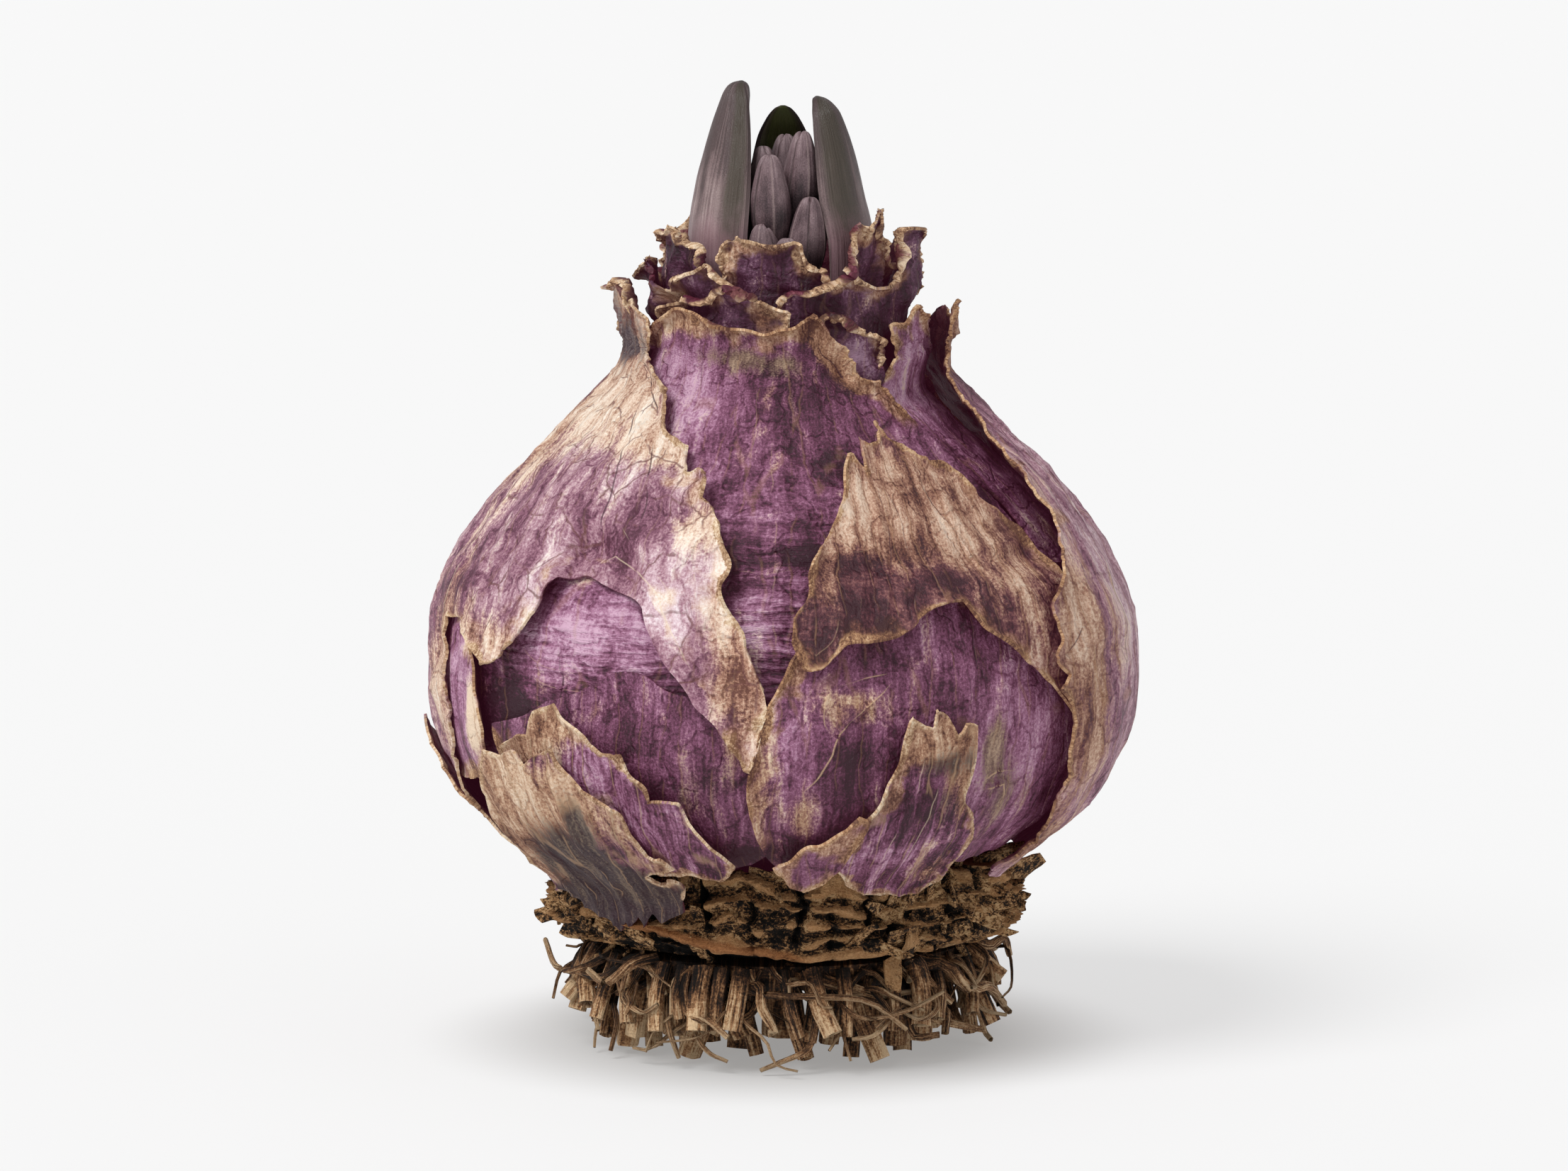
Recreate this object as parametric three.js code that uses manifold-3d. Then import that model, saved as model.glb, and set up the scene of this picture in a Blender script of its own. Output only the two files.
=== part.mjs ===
// A hyacinth bulb with its flower shoot, standing on its dried roots. Millimetres, +Z up.
// The origin is on the resting surface, under the bulb's axis, and -Y is the front.
// From the bottom: a tuft of root stubs, a corky basal plate, the fleshy body with its torn
// papery skins, the collars of the neck, and three leaf tips round a cluster of closed florets.

import * as THREE from "three";
import { mergeVertices } from "three/addons/utils/BufferGeometryUtils.js";
import Module from "manifold-3d";

const wasm = await Module();
wasm.setup();

// Driving dimensions
const SKIN_THICKNESS = 0.6;
const SKIN_GAP = 0.35;
const LAYER = SKIN_THICKNESS + SKIN_GAP;
const SEAT_GAP = 0.3;
const BODY_BOTTOM = 16.7;
const BODY_TOP = 58;
const PLATE_BOTTOM = 9.2;
const PLATE_TOP = 16.4;
const SHOOT_BASE = BODY_TOP + SEAT_GAP;
const RANDOM_SEED = 20;

// The surface that the skins wrap, as [height, radius]: plate side, belly, shoulder and neck
const WRAP_PROFILE = [
  [6, 16.1], [10, 16.4], [13, 16.8], [15, 17.4], [16.3, 18.1], [17.7, 19.2], [19.8, 21.5],
  [21.5, 23.4], [23.8, 25.2], [26, 26.2], [28.9, 27], [31.8, 27.2], [35.4, 26.9], [37.9, 26.3],
  [40.4, 25.1], [42.5, 23.7], [44.8, 21.8], [46.9, 19.6], [48.6, 17.5], [50.4, 15.3],
  [52.1, 13.2], [54.5, 10.6], [58, 8.6], [62, 8.2], [66, 8.1], [76, 8.1],
];

const radians = (degrees) => (degrees * Math.PI) / 180;
const mix = (a, b, t) => a + (b - a) * t;

// 0 before a, 1 after b, and smooth between them
function ramp(x, a, b) {
  const t = Math.min(1, Math.max(0, (x - a) / (b - a)));
  return t * t * (3 - 2 * t);
}

// Smooth value at x through a list of [x, value] points
function along(points, x) {
  const last = points.length - 2;
  let i = 0;
  while (i < last && x > points[i + 1][0]) i++;
  const slope = (k) => {
    const before = points[Math.max(0, k - 1)];
    const after = points[Math.min(last + 1, k + 1)];
    return (after[1] - before[1]) / (after[0] - before[0]);
  };
  const [x0, y0] = points[i];
  const [x1, y1] = points[i + 1];
  const width = x1 - x0;
  const t = Math.min(1, Math.max(0, (x - x0) / width));
  const fromStart = (1 + 2 * t) * (1 - t) ** 2 * y0 + t * (1 - t) ** 2 * width * slope(i);
  const fromEnd = t * t * (3 - 2 * t) * y1 + t * t * (t - 1) * width * slope(i + 1);
  return fromStart + fromEnd;
}

// The same random draws each time
let randomState = RANDOM_SEED;
function random(low = 0, high = 1) {
  randomState = (Math.imul(randomState, 1664525) + 1013904223) >>> 0;
  return low + ((high - low) * randomState) / 4294967296;
}

// A point at an azimuth in degrees (0 is the front, 90 is +X), a radius and a height
function polar(azimuth, radius, height) {
  const a = radians(azimuth);
  return new THREE.Vector3(radius * Math.sin(a), -radius * Math.cos(a), height);
}

// A point of the wrap surface, moved out along its normal
function wrapPoint(azimuth, height, offset) {
  const step = 0.6;
  const rise = (along(WRAP_PROFILE, height + step) - along(WRAP_PROFILE, height - step)) / (2 * step);
  const length = Math.hypot(1, rise);
  const radius = along(WRAP_PROFILE, height) + offset / length;
  return polar(azimuth, radius, height - (offset * rise) / length);
}

// Solids and meshes
function indexed(geometry) {
  const bare = geometry.index ? geometry.toNonIndexed() : geometry.clone();
  bare.deleteAttribute("normal");
  bare.deleteAttribute("uv");
  return mergeVertices(bare, 1e-4);
}

function solidOf(geometry) {
  const merged = indexed(geometry);
  const vertProperties = new Float32Array(merged.attributes.position.array);
  const triVerts = new Uint32Array(merged.index.array);
  return new wasm.Manifold(new wasm.Mesh({ numProp: 3, vertProperties, triVerts }));
}

function geometryOf(solid) {
  const mesh = solid.getMesh();
  const geometry = new THREE.BufferGeometry();
  geometry.setAttribute("position", new THREE.BufferAttribute(mesh.vertProperties, 3));
  geometry.setIndex(new THREE.BufferAttribute(mesh.triVerts, 1));
  return geometry;
}

function joined(geometries) {
  const whole = geometries.map(solidOf).reduce((sum, next) => sum.add(next));
  return whole.decompose().reduce((a, b) => (a.volume() > b.volume() ? a : b));
}

const bulb = new THREE.Group();

function addPiece(name, geometry, { color, roughness }) {
  const material = new THREE.MeshStandardMaterial({ color, roughness, metalness: 0 });
  geometry.computeVertexNormals();
  const mesh = new THREE.Mesh(geometry, material);
  mesh.name = name;
  bulb.add(mesh);
}

// Finishes
const FLESHY_PURPLE = { color: 0x73445f, roughness: 0.45 };
const PAPER_PURPLE = { color: 0x7a4c6b, roughness: 0.55 };
const PAPER_LILAC = { color: 0xb08f96, roughness: 0.6 };
const PAPER_TAN = { color: 0xb08c70, roughness: 0.75 };
const CORK = { color: 0x5c4733, roughness: 0.95 };
const ROOT = { color: 0x8a6c50, roughness: 0.9 };
const LEAF = { color: 0x6f605e, roughness: 0.45 };
const FLORET = { color: 0x5f4a4c, roughness: 0.5 };

// Body: the fleshy scales in their purple inner skin
const BODY_FOOT = [[BODY_BOTTOM, 0], [BODY_BOTTOM, 15.4], [18.2, 17.3], [19.8, 20.4]];
const BODY_HEIGHTS = [22.4, 25.2, 28.6, 32, 35.6, 39, 42.2, 45.2, 48, 50.6, 53, 55.4];
const bodyProfile = [
  ...BODY_FOOT,
  ...BODY_HEIGHTS.map((z) => [z, along(WRAP_PROFILE, z)]),
  [BODY_TOP, along(WRAP_PROFILE, BODY_TOP)],
  [BODY_TOP, 0],
];

function lathe(profile, segments) {
  const outline = profile.map(([z, r]) => new THREE.Vector2(r, z));
  return new THREE.LatheGeometry(outline, segments).rotateX(Math.PI / 2);
}

addPiece("bulb_body", geometryOf(solidOf(lathe(bodyProfile, 36))), FLESHY_PURPLE);

// Skins: each is an outline of [azimuth, height] points, given a thickness and wrapped round.
// It is laid out flat in facets, so many degrees wide and so many millimetres high.
const FACET_AZIMUTH = 11.5;
const FACET_HEIGHT = 4;
const FACET_SHOULDER_HEIGHT = 2.8;
const SHOULDER = 44;
const ROW_STEP = 0.9;
const UNEVENNESS = 0.05;

function layOut([azimuth, height], facet) {
  const above = Math.max(0, height - SHOULDER) / FACET_SHOULDER_HEIGHT;
  return new THREE.Vector2(azimuth / facet, Math.min(height, SHOULDER) / FACET_HEIGHT + above);
}

function fromLayout({ x, y }, facet) {
  const bend = SHOULDER / FACET_HEIGHT;
  const height = Math.min(y, bend) * FACET_HEIGHT + Math.max(0, y - bend) * FACET_SHOULDER_HEIGHT;
  return [x * facet, height];
}

const nextOf = (list, i) => list[(i + 1) % list.length];

// The outline with its long edges divided and a little wavy
function divided(ring) {
  return ring.flatMap((p, i) => {
    const q = nextOf(ring, i);
    const parts = Math.max(1, Math.round(p.distanceTo(q)));
    const added = Array.from({ length: parts - 1 }, (_, k) => {
      const wave = random(0.02, 0.07) * (k % 2 ? 1 : -1);
      const sideways = new THREE.Vector2(p.y - q.y, q.x - p.x).setLength(wave);
      return new THREE.Vector2().lerpVectors(p, q, (k + 1) / parts).add(sideways);
    });
    return [p, ...added];
  });
}

function isInside(point, ring) {
  const crossings = ring.filter((p, i) => {
    const q = nextOf(ring, i);
    if (p.y > point.y === q.y > point.y) return false;
    return point.x < p.x + ((point.y - p.y) * (q.x - p.x)) / (q.y - p.y);
  });
  return crossings.length % 2 === 1;
}

function edgeDistance(point, ring) {
  const flat = (p) => new THREE.Vector3(p.x, p.y, 0);
  const distances = ring.map((p, i) => {
    const edge = new THREE.Line3(flat(p), flat(nextOf(ring, i)));
    return edge.closestPointToPoint(flat(point), true, new THREE.Vector3()).distanceTo(flat(point));
  });
  return Math.min(...distances);
}

// Staggered, slightly uneven points inside the outline and clear of its edge
function lattice(ring) {
  const box = new THREE.Box2().setFromPoints(ring);
  const points = [];
  for (let row = Math.ceil(box.min.y / ROW_STEP); row * ROW_STEP < box.max.y; row++) {
    for (let column = Math.floor(box.min.x); column < box.max.x; column++) {
      const x = column + (row % 2) / 2 + random(-UNEVENNESS, UNEVENNESS);
      points.push(new THREE.Vector2(x, row * ROW_STEP + random(-UNEVENNESS, UNEVENNESS)));
    }
  }
  const clearOfEdge = ROW_STEP / 2;
  return points.filter((p) => isInside(p, ring) && edgeDistance(p, ring) > clearOfEdge);
}

// Turns the side shared by two thin triangles until all are as round as they can be
function rounded(points, triangles) {
  const angle = (c, a, b) => points[a].clone().sub(points[c]).angleTo(points[b].clone().sub(points[c]));
  const owners = new Map();
  triangles.forEach((t, k) => t.forEach((a, i) => owners.set(`${a},${nextOf(t, i)}`, k)));
  const touched = new Set();
  for (const [side, k] of owners) {
    const [a, b] = side.split(",").map(Number);
    const other = owners.get(`${b},${a}`);
    if (other === undefined || touched.has(k) || touched.has(other)) continue;
    const c = triangles[k].find((p) => p !== a && p !== b);
    const d = triangles[other].find((p) => p !== a && p !== b);
    if (angle(c, a, b) + angle(d, a, b) < Math.PI + 1e-4) continue;
    triangles[k] = [a, d, c];
    triangles[other] = [d, b, c];
    touched.add(k).add(other);
  }
  return touched.size ? rounded(points, triangles) : triangles;
}

// lift(azimuth, height) is the skin's layer number: 1 lies on the body, 2 on layer 1, and so on
function addSkin(name, outline, lift, finish, facet = FACET_AZIMUTH) {
  const corners = divided(outline.map((point) => layOut(point, facet)));
  const ring = THREE.ShapeUtils.isClockWise(corners) ? corners.reverse() : corners;
  const inner = lattice(ring);
  const flat = [...ring, ...inner];
  const cut = THREE.ShapeUtils.triangulateShape(ring, inner.map((point) => [point]));
  const area = (t) => THREE.ShapeUtils.area(t.map((i) => flat[i]));
  const total = cut.reduce((sum, t) => sum + area(t), 0);
  const triangles = rounded(flat, cut.map(([a, b, c]) => (total > 0 ? [a, b, c] : [a, c, b])));
  const face = (share) => flat.map((point) => {
    const [azimuth, height] = fromLayout(point, facet);
    const below = SKIN_GAP + (lift(azimuth, height) - 1) * LAYER;
    return wrapPoint(azimuth, height, below + share * SKIN_THICKNESS);
  });
  const outer = flat.length;
  const index = triangles.flatMap(([a, b, c]) => [a, c, b, a + outer, b + outer, c + outer]);
  ring.forEach((_, a) => {
    const b = (a + 1) % ring.length;
    index.push(a, b, b + outer, a, b + outer, a + outer);
  });
  const geometry = new THREE.BufferGeometry().setFromPoints([...face(0), ...face(1)]);
  geometry.setIndex(index);
  addPiece(name, geometry, finish);
}

// The skins crowd on each other where the shoulder narrows to the neck
const crowd = (z) => 3 * ramp(z, 42, 58);

// Shoulder skin: over the front, up to the lowest tan rim of the neck, torn in a long slant
addSkin("shoulder_tunic", [
  [-98, 30], [-60, 26], [-20, 29], [30, 29], [50, 31], [56, 40], [57, 46], [52, 48.6],
  [46, 51.2], [42, 52.6], [35, 55], [30, 55.6], [28, 56.8], [26, 59], [20, 61], [15, 63],
  [11, 63.3], [4, 62.2], [-8, 61.7], [-22, 61.8], [-32, 62.2], [-48, 62.8], [-60, 61.6],
  [-66, 60.4], [-74, 57], [-84, 48], [-98, 44],
], (a, z) => 1 + crowd(z), PAPER_PURPLE);

// Right shoulder skin: behind the slanting tear, up to the right side of the neck
addSkin("right_shoulder_tunic", [
  [62, 42], [90, 40], [118, 42], [122, 52], [112, 58.6], [100, 61], [88, 61.4], [77, 61.8],
  [70, 62.8], [64, 62.8], [58, 61.2], [52, 60.8], [54.4, 58.2], [50, 56.3], [44, 54.9],
  [36, 53.4], [44, 51.4], [60, 48],
], (a, z) => 1 + crowd(z) * (0.36 + 0.7 * ramp(z, 54, 57.6)), PAPER_PURPLE);

// Back skin: from the plate to the neck, under the edges of the left and right skins
addSkin("back_tunic", [
  [118, 18], [150, 17.2], [180, 17.4], [215, 17], [246, 18.2], [250, 30], [246, 40], [244, 48],
  [244, 56], [242, 60.4], [228, 60.8], [214, 61.4], [200, 60.4], [188, 62.2], [172, 60.6],
  [160, 61.8], [146, 60.4], [134, 60.4], [122, 59.4], [121, 56], [123, 50], [122, 46], [120, 38],
  [114, 28],
], (a, z) => 1.2 + 0.9 * crowd(z), PAPER_PURPLE);

// Lower skins of the front, which meet in a tan seam under the dark middle
addSkin("front_left_tunic", [
  [-57, 29.6], [-49, 31.2], [-38, 32.6], [-31, 34.2], [-14, 33.4], [-3.6, 32.4], [-1.6, 30],
  [-1, 24], [-2.4, 21.4], [-9, 19.8], [-21, 19.6], [-36, 20], [-54, 21],
], () => 2, PAPER_PURPLE);
addSkin("front_right_tunic", [
  [-1.6, 33.6], [-2.8, 31.8], [-4.6, 29.2], [-6.4, 26.8], [-6, 24.2], [-2, 21.2], [6, 20],
  [20, 19.6], [36, 19.4], [52, 20], [58, 24], [60, 32], [56, 37], [40, 38.4], [20, 39.4],
  [8, 39], [2, 37],
], (a) => 3.1 - ramp(a, 3, 16), PAPER_PURPLE);

// Upper right skin: brown, broken off square at its top, with a rounded lobe at its lower left
addSkin("upper_right_tunic", [
  [15.6, 49], [20.6, 48.2], [21.6, 50.2], [27.4, 51.2], [29.4, 49.8], [34, 49.4], [38, 47.8],
  [43.6, 48], [48, 46.2], [54, 44], [57, 40], [58, 35], [57, 29], [53, 26.6], [46, 30.6],
  [42, 33.6], [35, 35.4], [29, 34.4], [24, 36.6], [19.4, 36], [13, 34.4], [8, 34], [3.6, 34.6],
  [2.2, 36.2], [4.8, 40], [7.4, 43], [12.4, 46],
], (a, z) => Math.max(2.2 + crowd(z), 4.2 - ramp(a, 4, 15) * 0.95 - ramp(z, 39, 44) * 1.5),
PAPER_TAN);

// Left skin: from the dried tip beside the neck down over the belly, torn open at the lower left
addSkin("left_tunic", [
  [-150, 20], [-132, 17.6], [-112, 17.2], [-96, 17.8], [-84, 19.4], [-76, 23], [-74, 26.4],
  [-72.6, 30], [-74.4, 33.6], [-76, 36.4], [-70.6, 36.6], [-63.4, 35], [-57, 33.6],
  [-51.6, 36.2], [-46.4, 38.6], [-44, 40.6], [-38, 40.4], [-31, 39.2], [-25.4, 37.6],
  [-20.4, 34.8], [-15.2, 32.2], [-10.4, 30.4], [-6.8, 29.2], [-4.6, 31.4], [-3.4, 33.4],
  [-5.6, 36.6], [-10.4, 40.6], [-9.6, 42.2], [-12, 44.4], [-18.4, 46], [-20, 47.6],
  [-25, 48.2], [-26.2, 50], [-34, 50.8], [-38, 52.2], [-42, 53.5], [-54, 56], [-61, 58],
  [-60, 61], [-66, 63], [-73, 64.4], [-82, 65.2], [-90, 64.8], [-98, 63.4], [-104, 59.6],
  [-114, 55], [-128, 50], [-142, 42], [-150, 32],
], (a, z) => 3.05 + 0.72 * crowd(z) + 0.9 * ramp(z, 58.5, 65), PAPER_LILAC);

// A narrow piece of an inner skin in the tear of the left skin
addSkin("left_inner_tunic", [
  [-73.4, 35.4], [-75, 31], [-72, 27], [-67, 25], [-61.4, 26.4], [-60, 29.6], [-63.4, 32.6],
  [-69, 35],
], () => 2, PAPER_PURPLE);

// Right skin: a broad lilac cheek whose torn edge stands off the front
addSkin("right_tunic", [
  [82, 60.6], [78.6, 59], [77, 56], [72.6, 53.4], [69, 51.4], [64.4, 50], [62, 47.8],
  [60.4, 45.6], [58.6, 43], [52, 39.6], [47.4, 37.6], [48.4, 35.4], [46.2, 34.2], [49, 32.8],
  [50.2, 30.4], [50, 27.6], [51.8, 25.2], [53.4, 22.4], [51.6, 19.6], [52, 17.6], [58, 16.8],
  [70, 16.7], [88, 16.9], [108, 17], [126, 17.6], [138, 22], [142, 32], [136, 42],
  [130, 50], [130, 56], [124, 59.6], [114, 60.6], [104, 61.6], [96, 62.4], [88, 62.2],
], (a, z) => 3.3 + 0.6 * crowd(z) + 0.9 * (1 - ramp(a, 62, 82)) * (1 - ramp(z, 44, 52)) +
  2.2 * ramp(z, 53, 60) * (1 - ramp(a, 98, 118)), PAPER_LILAC);

// Stiff lower flaps that stand up from the plate
addSkin("lower_left_flap", [
  [-66, 16.6], [-58, 13.6], [-44, 11.4], [-30, 11], [-25, 12.4], [-22.6, 16], [-21.6, 20.6],
  [-26, 21.6], [-28.4, 24.2], [-32.4, 26.2], [-38, 29], [-41.4, 28], [-45, 27], [-48, 28],
  [-54, 28.4], [-58.4, 25], [-62, 20.6],
], () => 4.25, PAPER_TAN);
addSkin("lower_left_inner_flap", [
  [-54, 23.6], [-51.6, 29.2], [-46, 28.6], [-44, 31], [-40, 32], [-32, 29.6], [-30, 27.8],
  [-26, 28], [-24.4, 25.4], [-18.4, 25.2], [-15.6, 22.4], [-9, 21], [-12, 19.8], [-24, 19.8],
  [-44, 20.2],
], () => 3.15, PAPER_PURPLE);
addSkin("lower_left_strip", [
  [-92, 28.4], [-86.6, 25.6], [-80, 24.2], [-76, 21.6], [-71, 17.6], [-70, 14.6], [-82, 14.2],
  [-98, 14.8], [-112, 17], [-108, 22], [-100, 25.4],
], () => 4.1, PAPER_LILAC);
addSkin("lower_right_flap", [
  [20, 31], [22, 31.8], [24, 30.6], [25.2, 32], [27.4, 31.4], [28.6, 29.8], [31.4, 30.8],
  [32, 28.4], [31.6, 25.6], [35.8, 24], [39, 21], [37, 18.4], [30, 17.6], [16, 18.4],
  [11, 20.6], [14.4, 22.8], [16.4, 25.2], [18.6, 27.8],
], () => 3.1, PAPER_TAN);
addSkin("lower_front_flap", [
  [-1.8, 21.8], [4, 23], [9, 23.8], [13.4, 25], [14.8, 24.6], [12.8, 22.8], [9, 20.6], [4, 19.6],
], (a) => 4.2 - 0.95 * ramp(a, 5, 18), PAPER_PURPLE);

// Flaps of the back, like those of the front
addSkin("back_left_flap", [
  [-150, 15.4], [-146, 28], [-152, 33.6], [-157, 31.8], [-164, 35.2], [-170, 33], [-178, 30],
  [-184, 24], [-182, 17.2], [-168, 15.6],
], () => 4.1, PAPER_TAN);
addSkin("back_right_flap", [
  [144, 16], [170, 15.4], [173, 19], [168, 27], [163, 29.4], [156, 28.4], [150, 31.4],
  [146.4, 28],
], () => 3.1, PAPER_TAN);

// Neck collars: torn tops of the inner skins, each higher than the one outside it.
// A collar stands off the neck by its flare towards the top, more at its torn tips.
const NECK_FACET = 20;
const FLARE_HEIGHT = 6;
const LOWEST_FLARE = 62.9;
const SIDE_FLARE_HEIGHT = 3;
const COLLARS = [
  { name: "neck_collar_inner_front", layer: 1.1, flare: 0.5, outline: [
    [-33, 62.4], [26, 62.4], [27, 66.8], [19, 67.2], [13, 68], [7, 68.9], [-3, 69], [-15, 69.2],
    [-23, 69.4], [-35, 68]] },
  { name: "neck_collar_inner_right", layer: 1.1, flare: 0.9, outline: [
    [33, 62.4], [112, 62.4], [114, 67], [98, 69.6], [88, 67.4], [80, 66.8], [72, 66.8],
    [67, 68.5], [57.6, 70.4], [54, 71.6], [50, 71.4], [47.6, 69.6], [36, 70.2], [32, 67.4]] },
  { name: "neck_collar_inner_left", layer: 1.1, flare: 0.9, outline: [
    [-116, 62.4], [-40, 62.4], [-41, 67.6], [-50, 68.6], [-58, 69.2], [-68, 69.4], [-80, 69.6],
    [-90, 68.8], [-104, 67.2], [-117, 69]] },
  { name: "neck_collar_inner_back", layer: 1.1, flare: 0.9, outline: [
    [122, 62.4], [236, 62.4], [238, 68], [220, 70.4], [206, 68.2], [190, 69.6], [172, 71.4],
    [158, 69], [144, 70.4], [120, 67.4]] },
  { name: "neck_collar_middle_left", layer: 2.1, flare: 1.8, outline: [
    [-108, 60.6], [-16, 60.8], [-12, 64.6], [-21, 65.7], [-32, 67.2], [-38, 67.2], [-46, 66.5],
    [-59, 66.2], [-61.6, 64.4], [-66, 67.2], [-79, 67.2], [-88, 66.8], [-97, 64.8],
    [-110, 66]] },
  { name: "neck_collar_middle_right", layer: 2.2, flare: 1.5, outline: [
    [-6, 60.8], [108, 60.4], [111, 65.4], [98, 63.6], [93, 65.6], [89, 68.8], [76, 69.8],
    [63, 69.6], [65, 67], [60, 65.2], [50, 64.9], [41, 65.7], [31.4, 67.4], [22, 66],
    [8, 65.2], [-6, 64.2]] },
  { name: "neck_collar_middle_back", layer: 2.2, flare: 2, outline: [
    [118, 60.6], [244, 60.6], [246, 66], [226, 67.6], [208, 65.4], [192, 66.8], [170, 68],
    [152, 66], [136, 67], [116, 65.6]] },
  { name: "neck_collar_low_front", layer: 3.05, flare: 1.5, outline: [
    [-70, 58.6], [2, 58.6], [4, 63.1], [-6, 64], [-12, 65], [-23, 65.9], [-33, 65.2],
    [-38, 64.4], [-46, 64.8], [-54, 63.6], [-66, 62.6]] },
  { name: "neck_collar_low_right", layer: 3.1, flare: 0.3, outline: [
    [13, 60], [22, 57.8], [26, 55.8], [30, 54.9], [36, 54.6], [41, 55.7], [47, 57.1],
    [50, 58.4], [50.4, 60.2], [44, 61.1], [38, 61.6], [32, 62.4], [20, 63.2], [13, 62.4]] },
];
for (const { name, layer, flare, outline } of COLLARS) {
  const top = Math.max(...outline.map(([, z]) => z));
  const from = Math.max(top - FLARE_HEIGHT, LOWEST_FLARE);
  // The collars bend out sooner at the sides of the neck than at its front
  const shortening = top - from > 4 ? FLARE_HEIGHT - SIDE_FLARE_HEIGHT : 0;
  const lift = (a, z) => {
    const height = top - from - shortening * ramp(Math.abs(a), 58, 72);
    const wave = 0.75 + 0.25 * Math.sin(a / 4);
    return layer + flare * wave * ramp((z - from) / height, 0, 1) - 0.5 * (1 - ramp(z, 55, 58));
  };
  addSkin(name, outline, lift, PAPER_PURPLE, NECK_FACET);
}

// Basal plate: a corky disc, cracked across and along, with a raised rim at the front
const PLATE_SIDES = 48;
const PLATE_FLAT_RADIUS = 14;
const PLATE_SIDE_BULGE = 0.95;
const PLATE_ROW_HEIGHT = 2.2;
const CRACK_DEPTH = 0.55;
const LUMP_HEIGHT = 0.22;
const RIM_HEIGHT = 0.9;
const RIM_INNER_RADIUS = 17.8;
const PLATE_ROWS = [
  [PLATE_BOTTOM, 0], [PLATE_BOTTOM, 12], [PLATE_BOTTOM + 0.2, 16.2], [10, 17.9], [10.9, 18.9],
  [11.8, 18.5], [12.7, 19.2], [13.6, 18.8], [14.6, 19], [15.5, 18.6], [PLATE_TOP, 18.5],
  [PLATE_TOP, 17], [PLATE_TOP, 0],
];

function plateGeometry() {
  const geometry = lathe(PLATE_ROWS, PLATE_SIDES);
  const position = geometry.attributes.position;
  for (let i = 0; i < position.count; i++) {
    const p = new THREE.Vector3().fromBufferAttribute(position, i);
    const radius = Math.hypot(p.x, p.y);
    if (radius < PLATE_FLAT_RADIUS) continue;
    const azimuth = (Math.atan2(p.x, -p.y) * 180) / Math.PI;
    const side = Math.max(Math.cos(radians(azimuth - 90)), Math.cos(radians(azimuth + 104)));
    const bulge = PLATE_SIDE_BULGE * ramp(side, 0.55, 1);
    const row = Math.floor((p.z - PLATE_BOTTOM) / PLATE_ROW_HEIGHT);
    const crack = Math.abs(Math.sin(radians(azimuth * 6.5 + row * 70))) < 0.22 ? CRACK_DEPTH : 0;
    const lumps = LUMP_HEIGHT * Math.sin(radians(azimuth * 17 + row * 50));
    const wanted = radius + bulge + lumps - crack;
    const onRim = radius > RIM_INNER_RADIUS && p.z > PLATE_TOP - 0.1;
    const rim = onRim ? RIM_HEIGHT * ramp(Math.cos(radians(azimuth - 5)), 0.6, 0.95) : 0;
    position.setXYZ(i, (p.x * wanted) / radius, (p.y * wanted) / radius, p.z + rim);
  }
  return geometryOf(solidOf(geometry));
}

addPiece("basal_plate", plateGeometry(), CORK);

// Roots: trimmed stubs and thin curled roots, grown from a callus under the plate
const CALLUS_TOP = PLATE_BOTTOM - SEAT_GAP;
const ROOT_TOP = 7.6;
const BELOW_FLOOR = -0.6;
const CALLUS = [[6, 0], [6.2, 12.6], [7.4, 15.6], [CALLUS_TOP, 16], [CALLUS_TOP, 0]];
const STUB_RINGS = [
  { count: 27, start: 14.7, end: 18.2, thick: 1.05, sides: 5, steps: 3 },
  { count: 15, start: 11.2, end: 14, thick: 1, sides: 4, steps: 2 },
  { count: 8, start: 7, end: 8.8, thick: 1, sides: 4, steps: 2 },
];
// One upright stub stands under the axis: its cut end is the flat spot that the bulb rests on
const REST_STUB_RADIUS = 1.7;
const THIN_ROOTS = 14;
const THIN_RADIUS = 0.5;

function root(points, radius, sides, steps) {
  const section = new THREE.Shape(Array.from({ length: sides }, (_, i) => {
    const a = (2 * Math.PI * i) / sides;
    return new THREE.Vector2(radius * Math.cos(a), radius * Math.sin(a));
  }));
  const extrudePath = new THREE.CatmullRomCurve3(points);
  return new THREE.ExtrudeGeometry(section, { steps, bevelEnabled: false, extrudePath });
}

function stubsOfRing({ count, start, end, thick, sides, steps }) {
  return Array.from({ length: count }, (_, i) => {
    const azimuth = (360 * i) / count + random(-4, 4);
    const drift = random(-9, 9);
    const reach = end + random(-0.8, 0.9);
    const foot = i % 3 === 0 ? BELOW_FLOOR : random(0, 1.8);
    return root([
      polar(azimuth, start - 0.6, ROOT_TOP),
      polar(azimuth + drift * 0.3, mix(start, reach, 0.5), 4.8),
      polar(azimuth + drift, reach, foot),
    ], thick * random(0.82, 1.1), sides, steps);
  });
}

function thinRoot(index) {
  const azimuth = (360 * index) / THIN_ROOTS + random(-7, 7);
  const turn = random(-16, 16);
  const low = random(0.9, 3.4);
  return root([
    polar(azimuth, 13.6, ROOT_TOP),
    polar(azimuth + turn * 0.2, 16.4, 5.6),
    polar(azimuth + turn * 0.7, 18.2, low),
    polar(azimuth + turn * 1.4, 19.4, low + random(-0.2, 2.2)),
  ], THIN_RADIUS, 3, 4);
}

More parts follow.
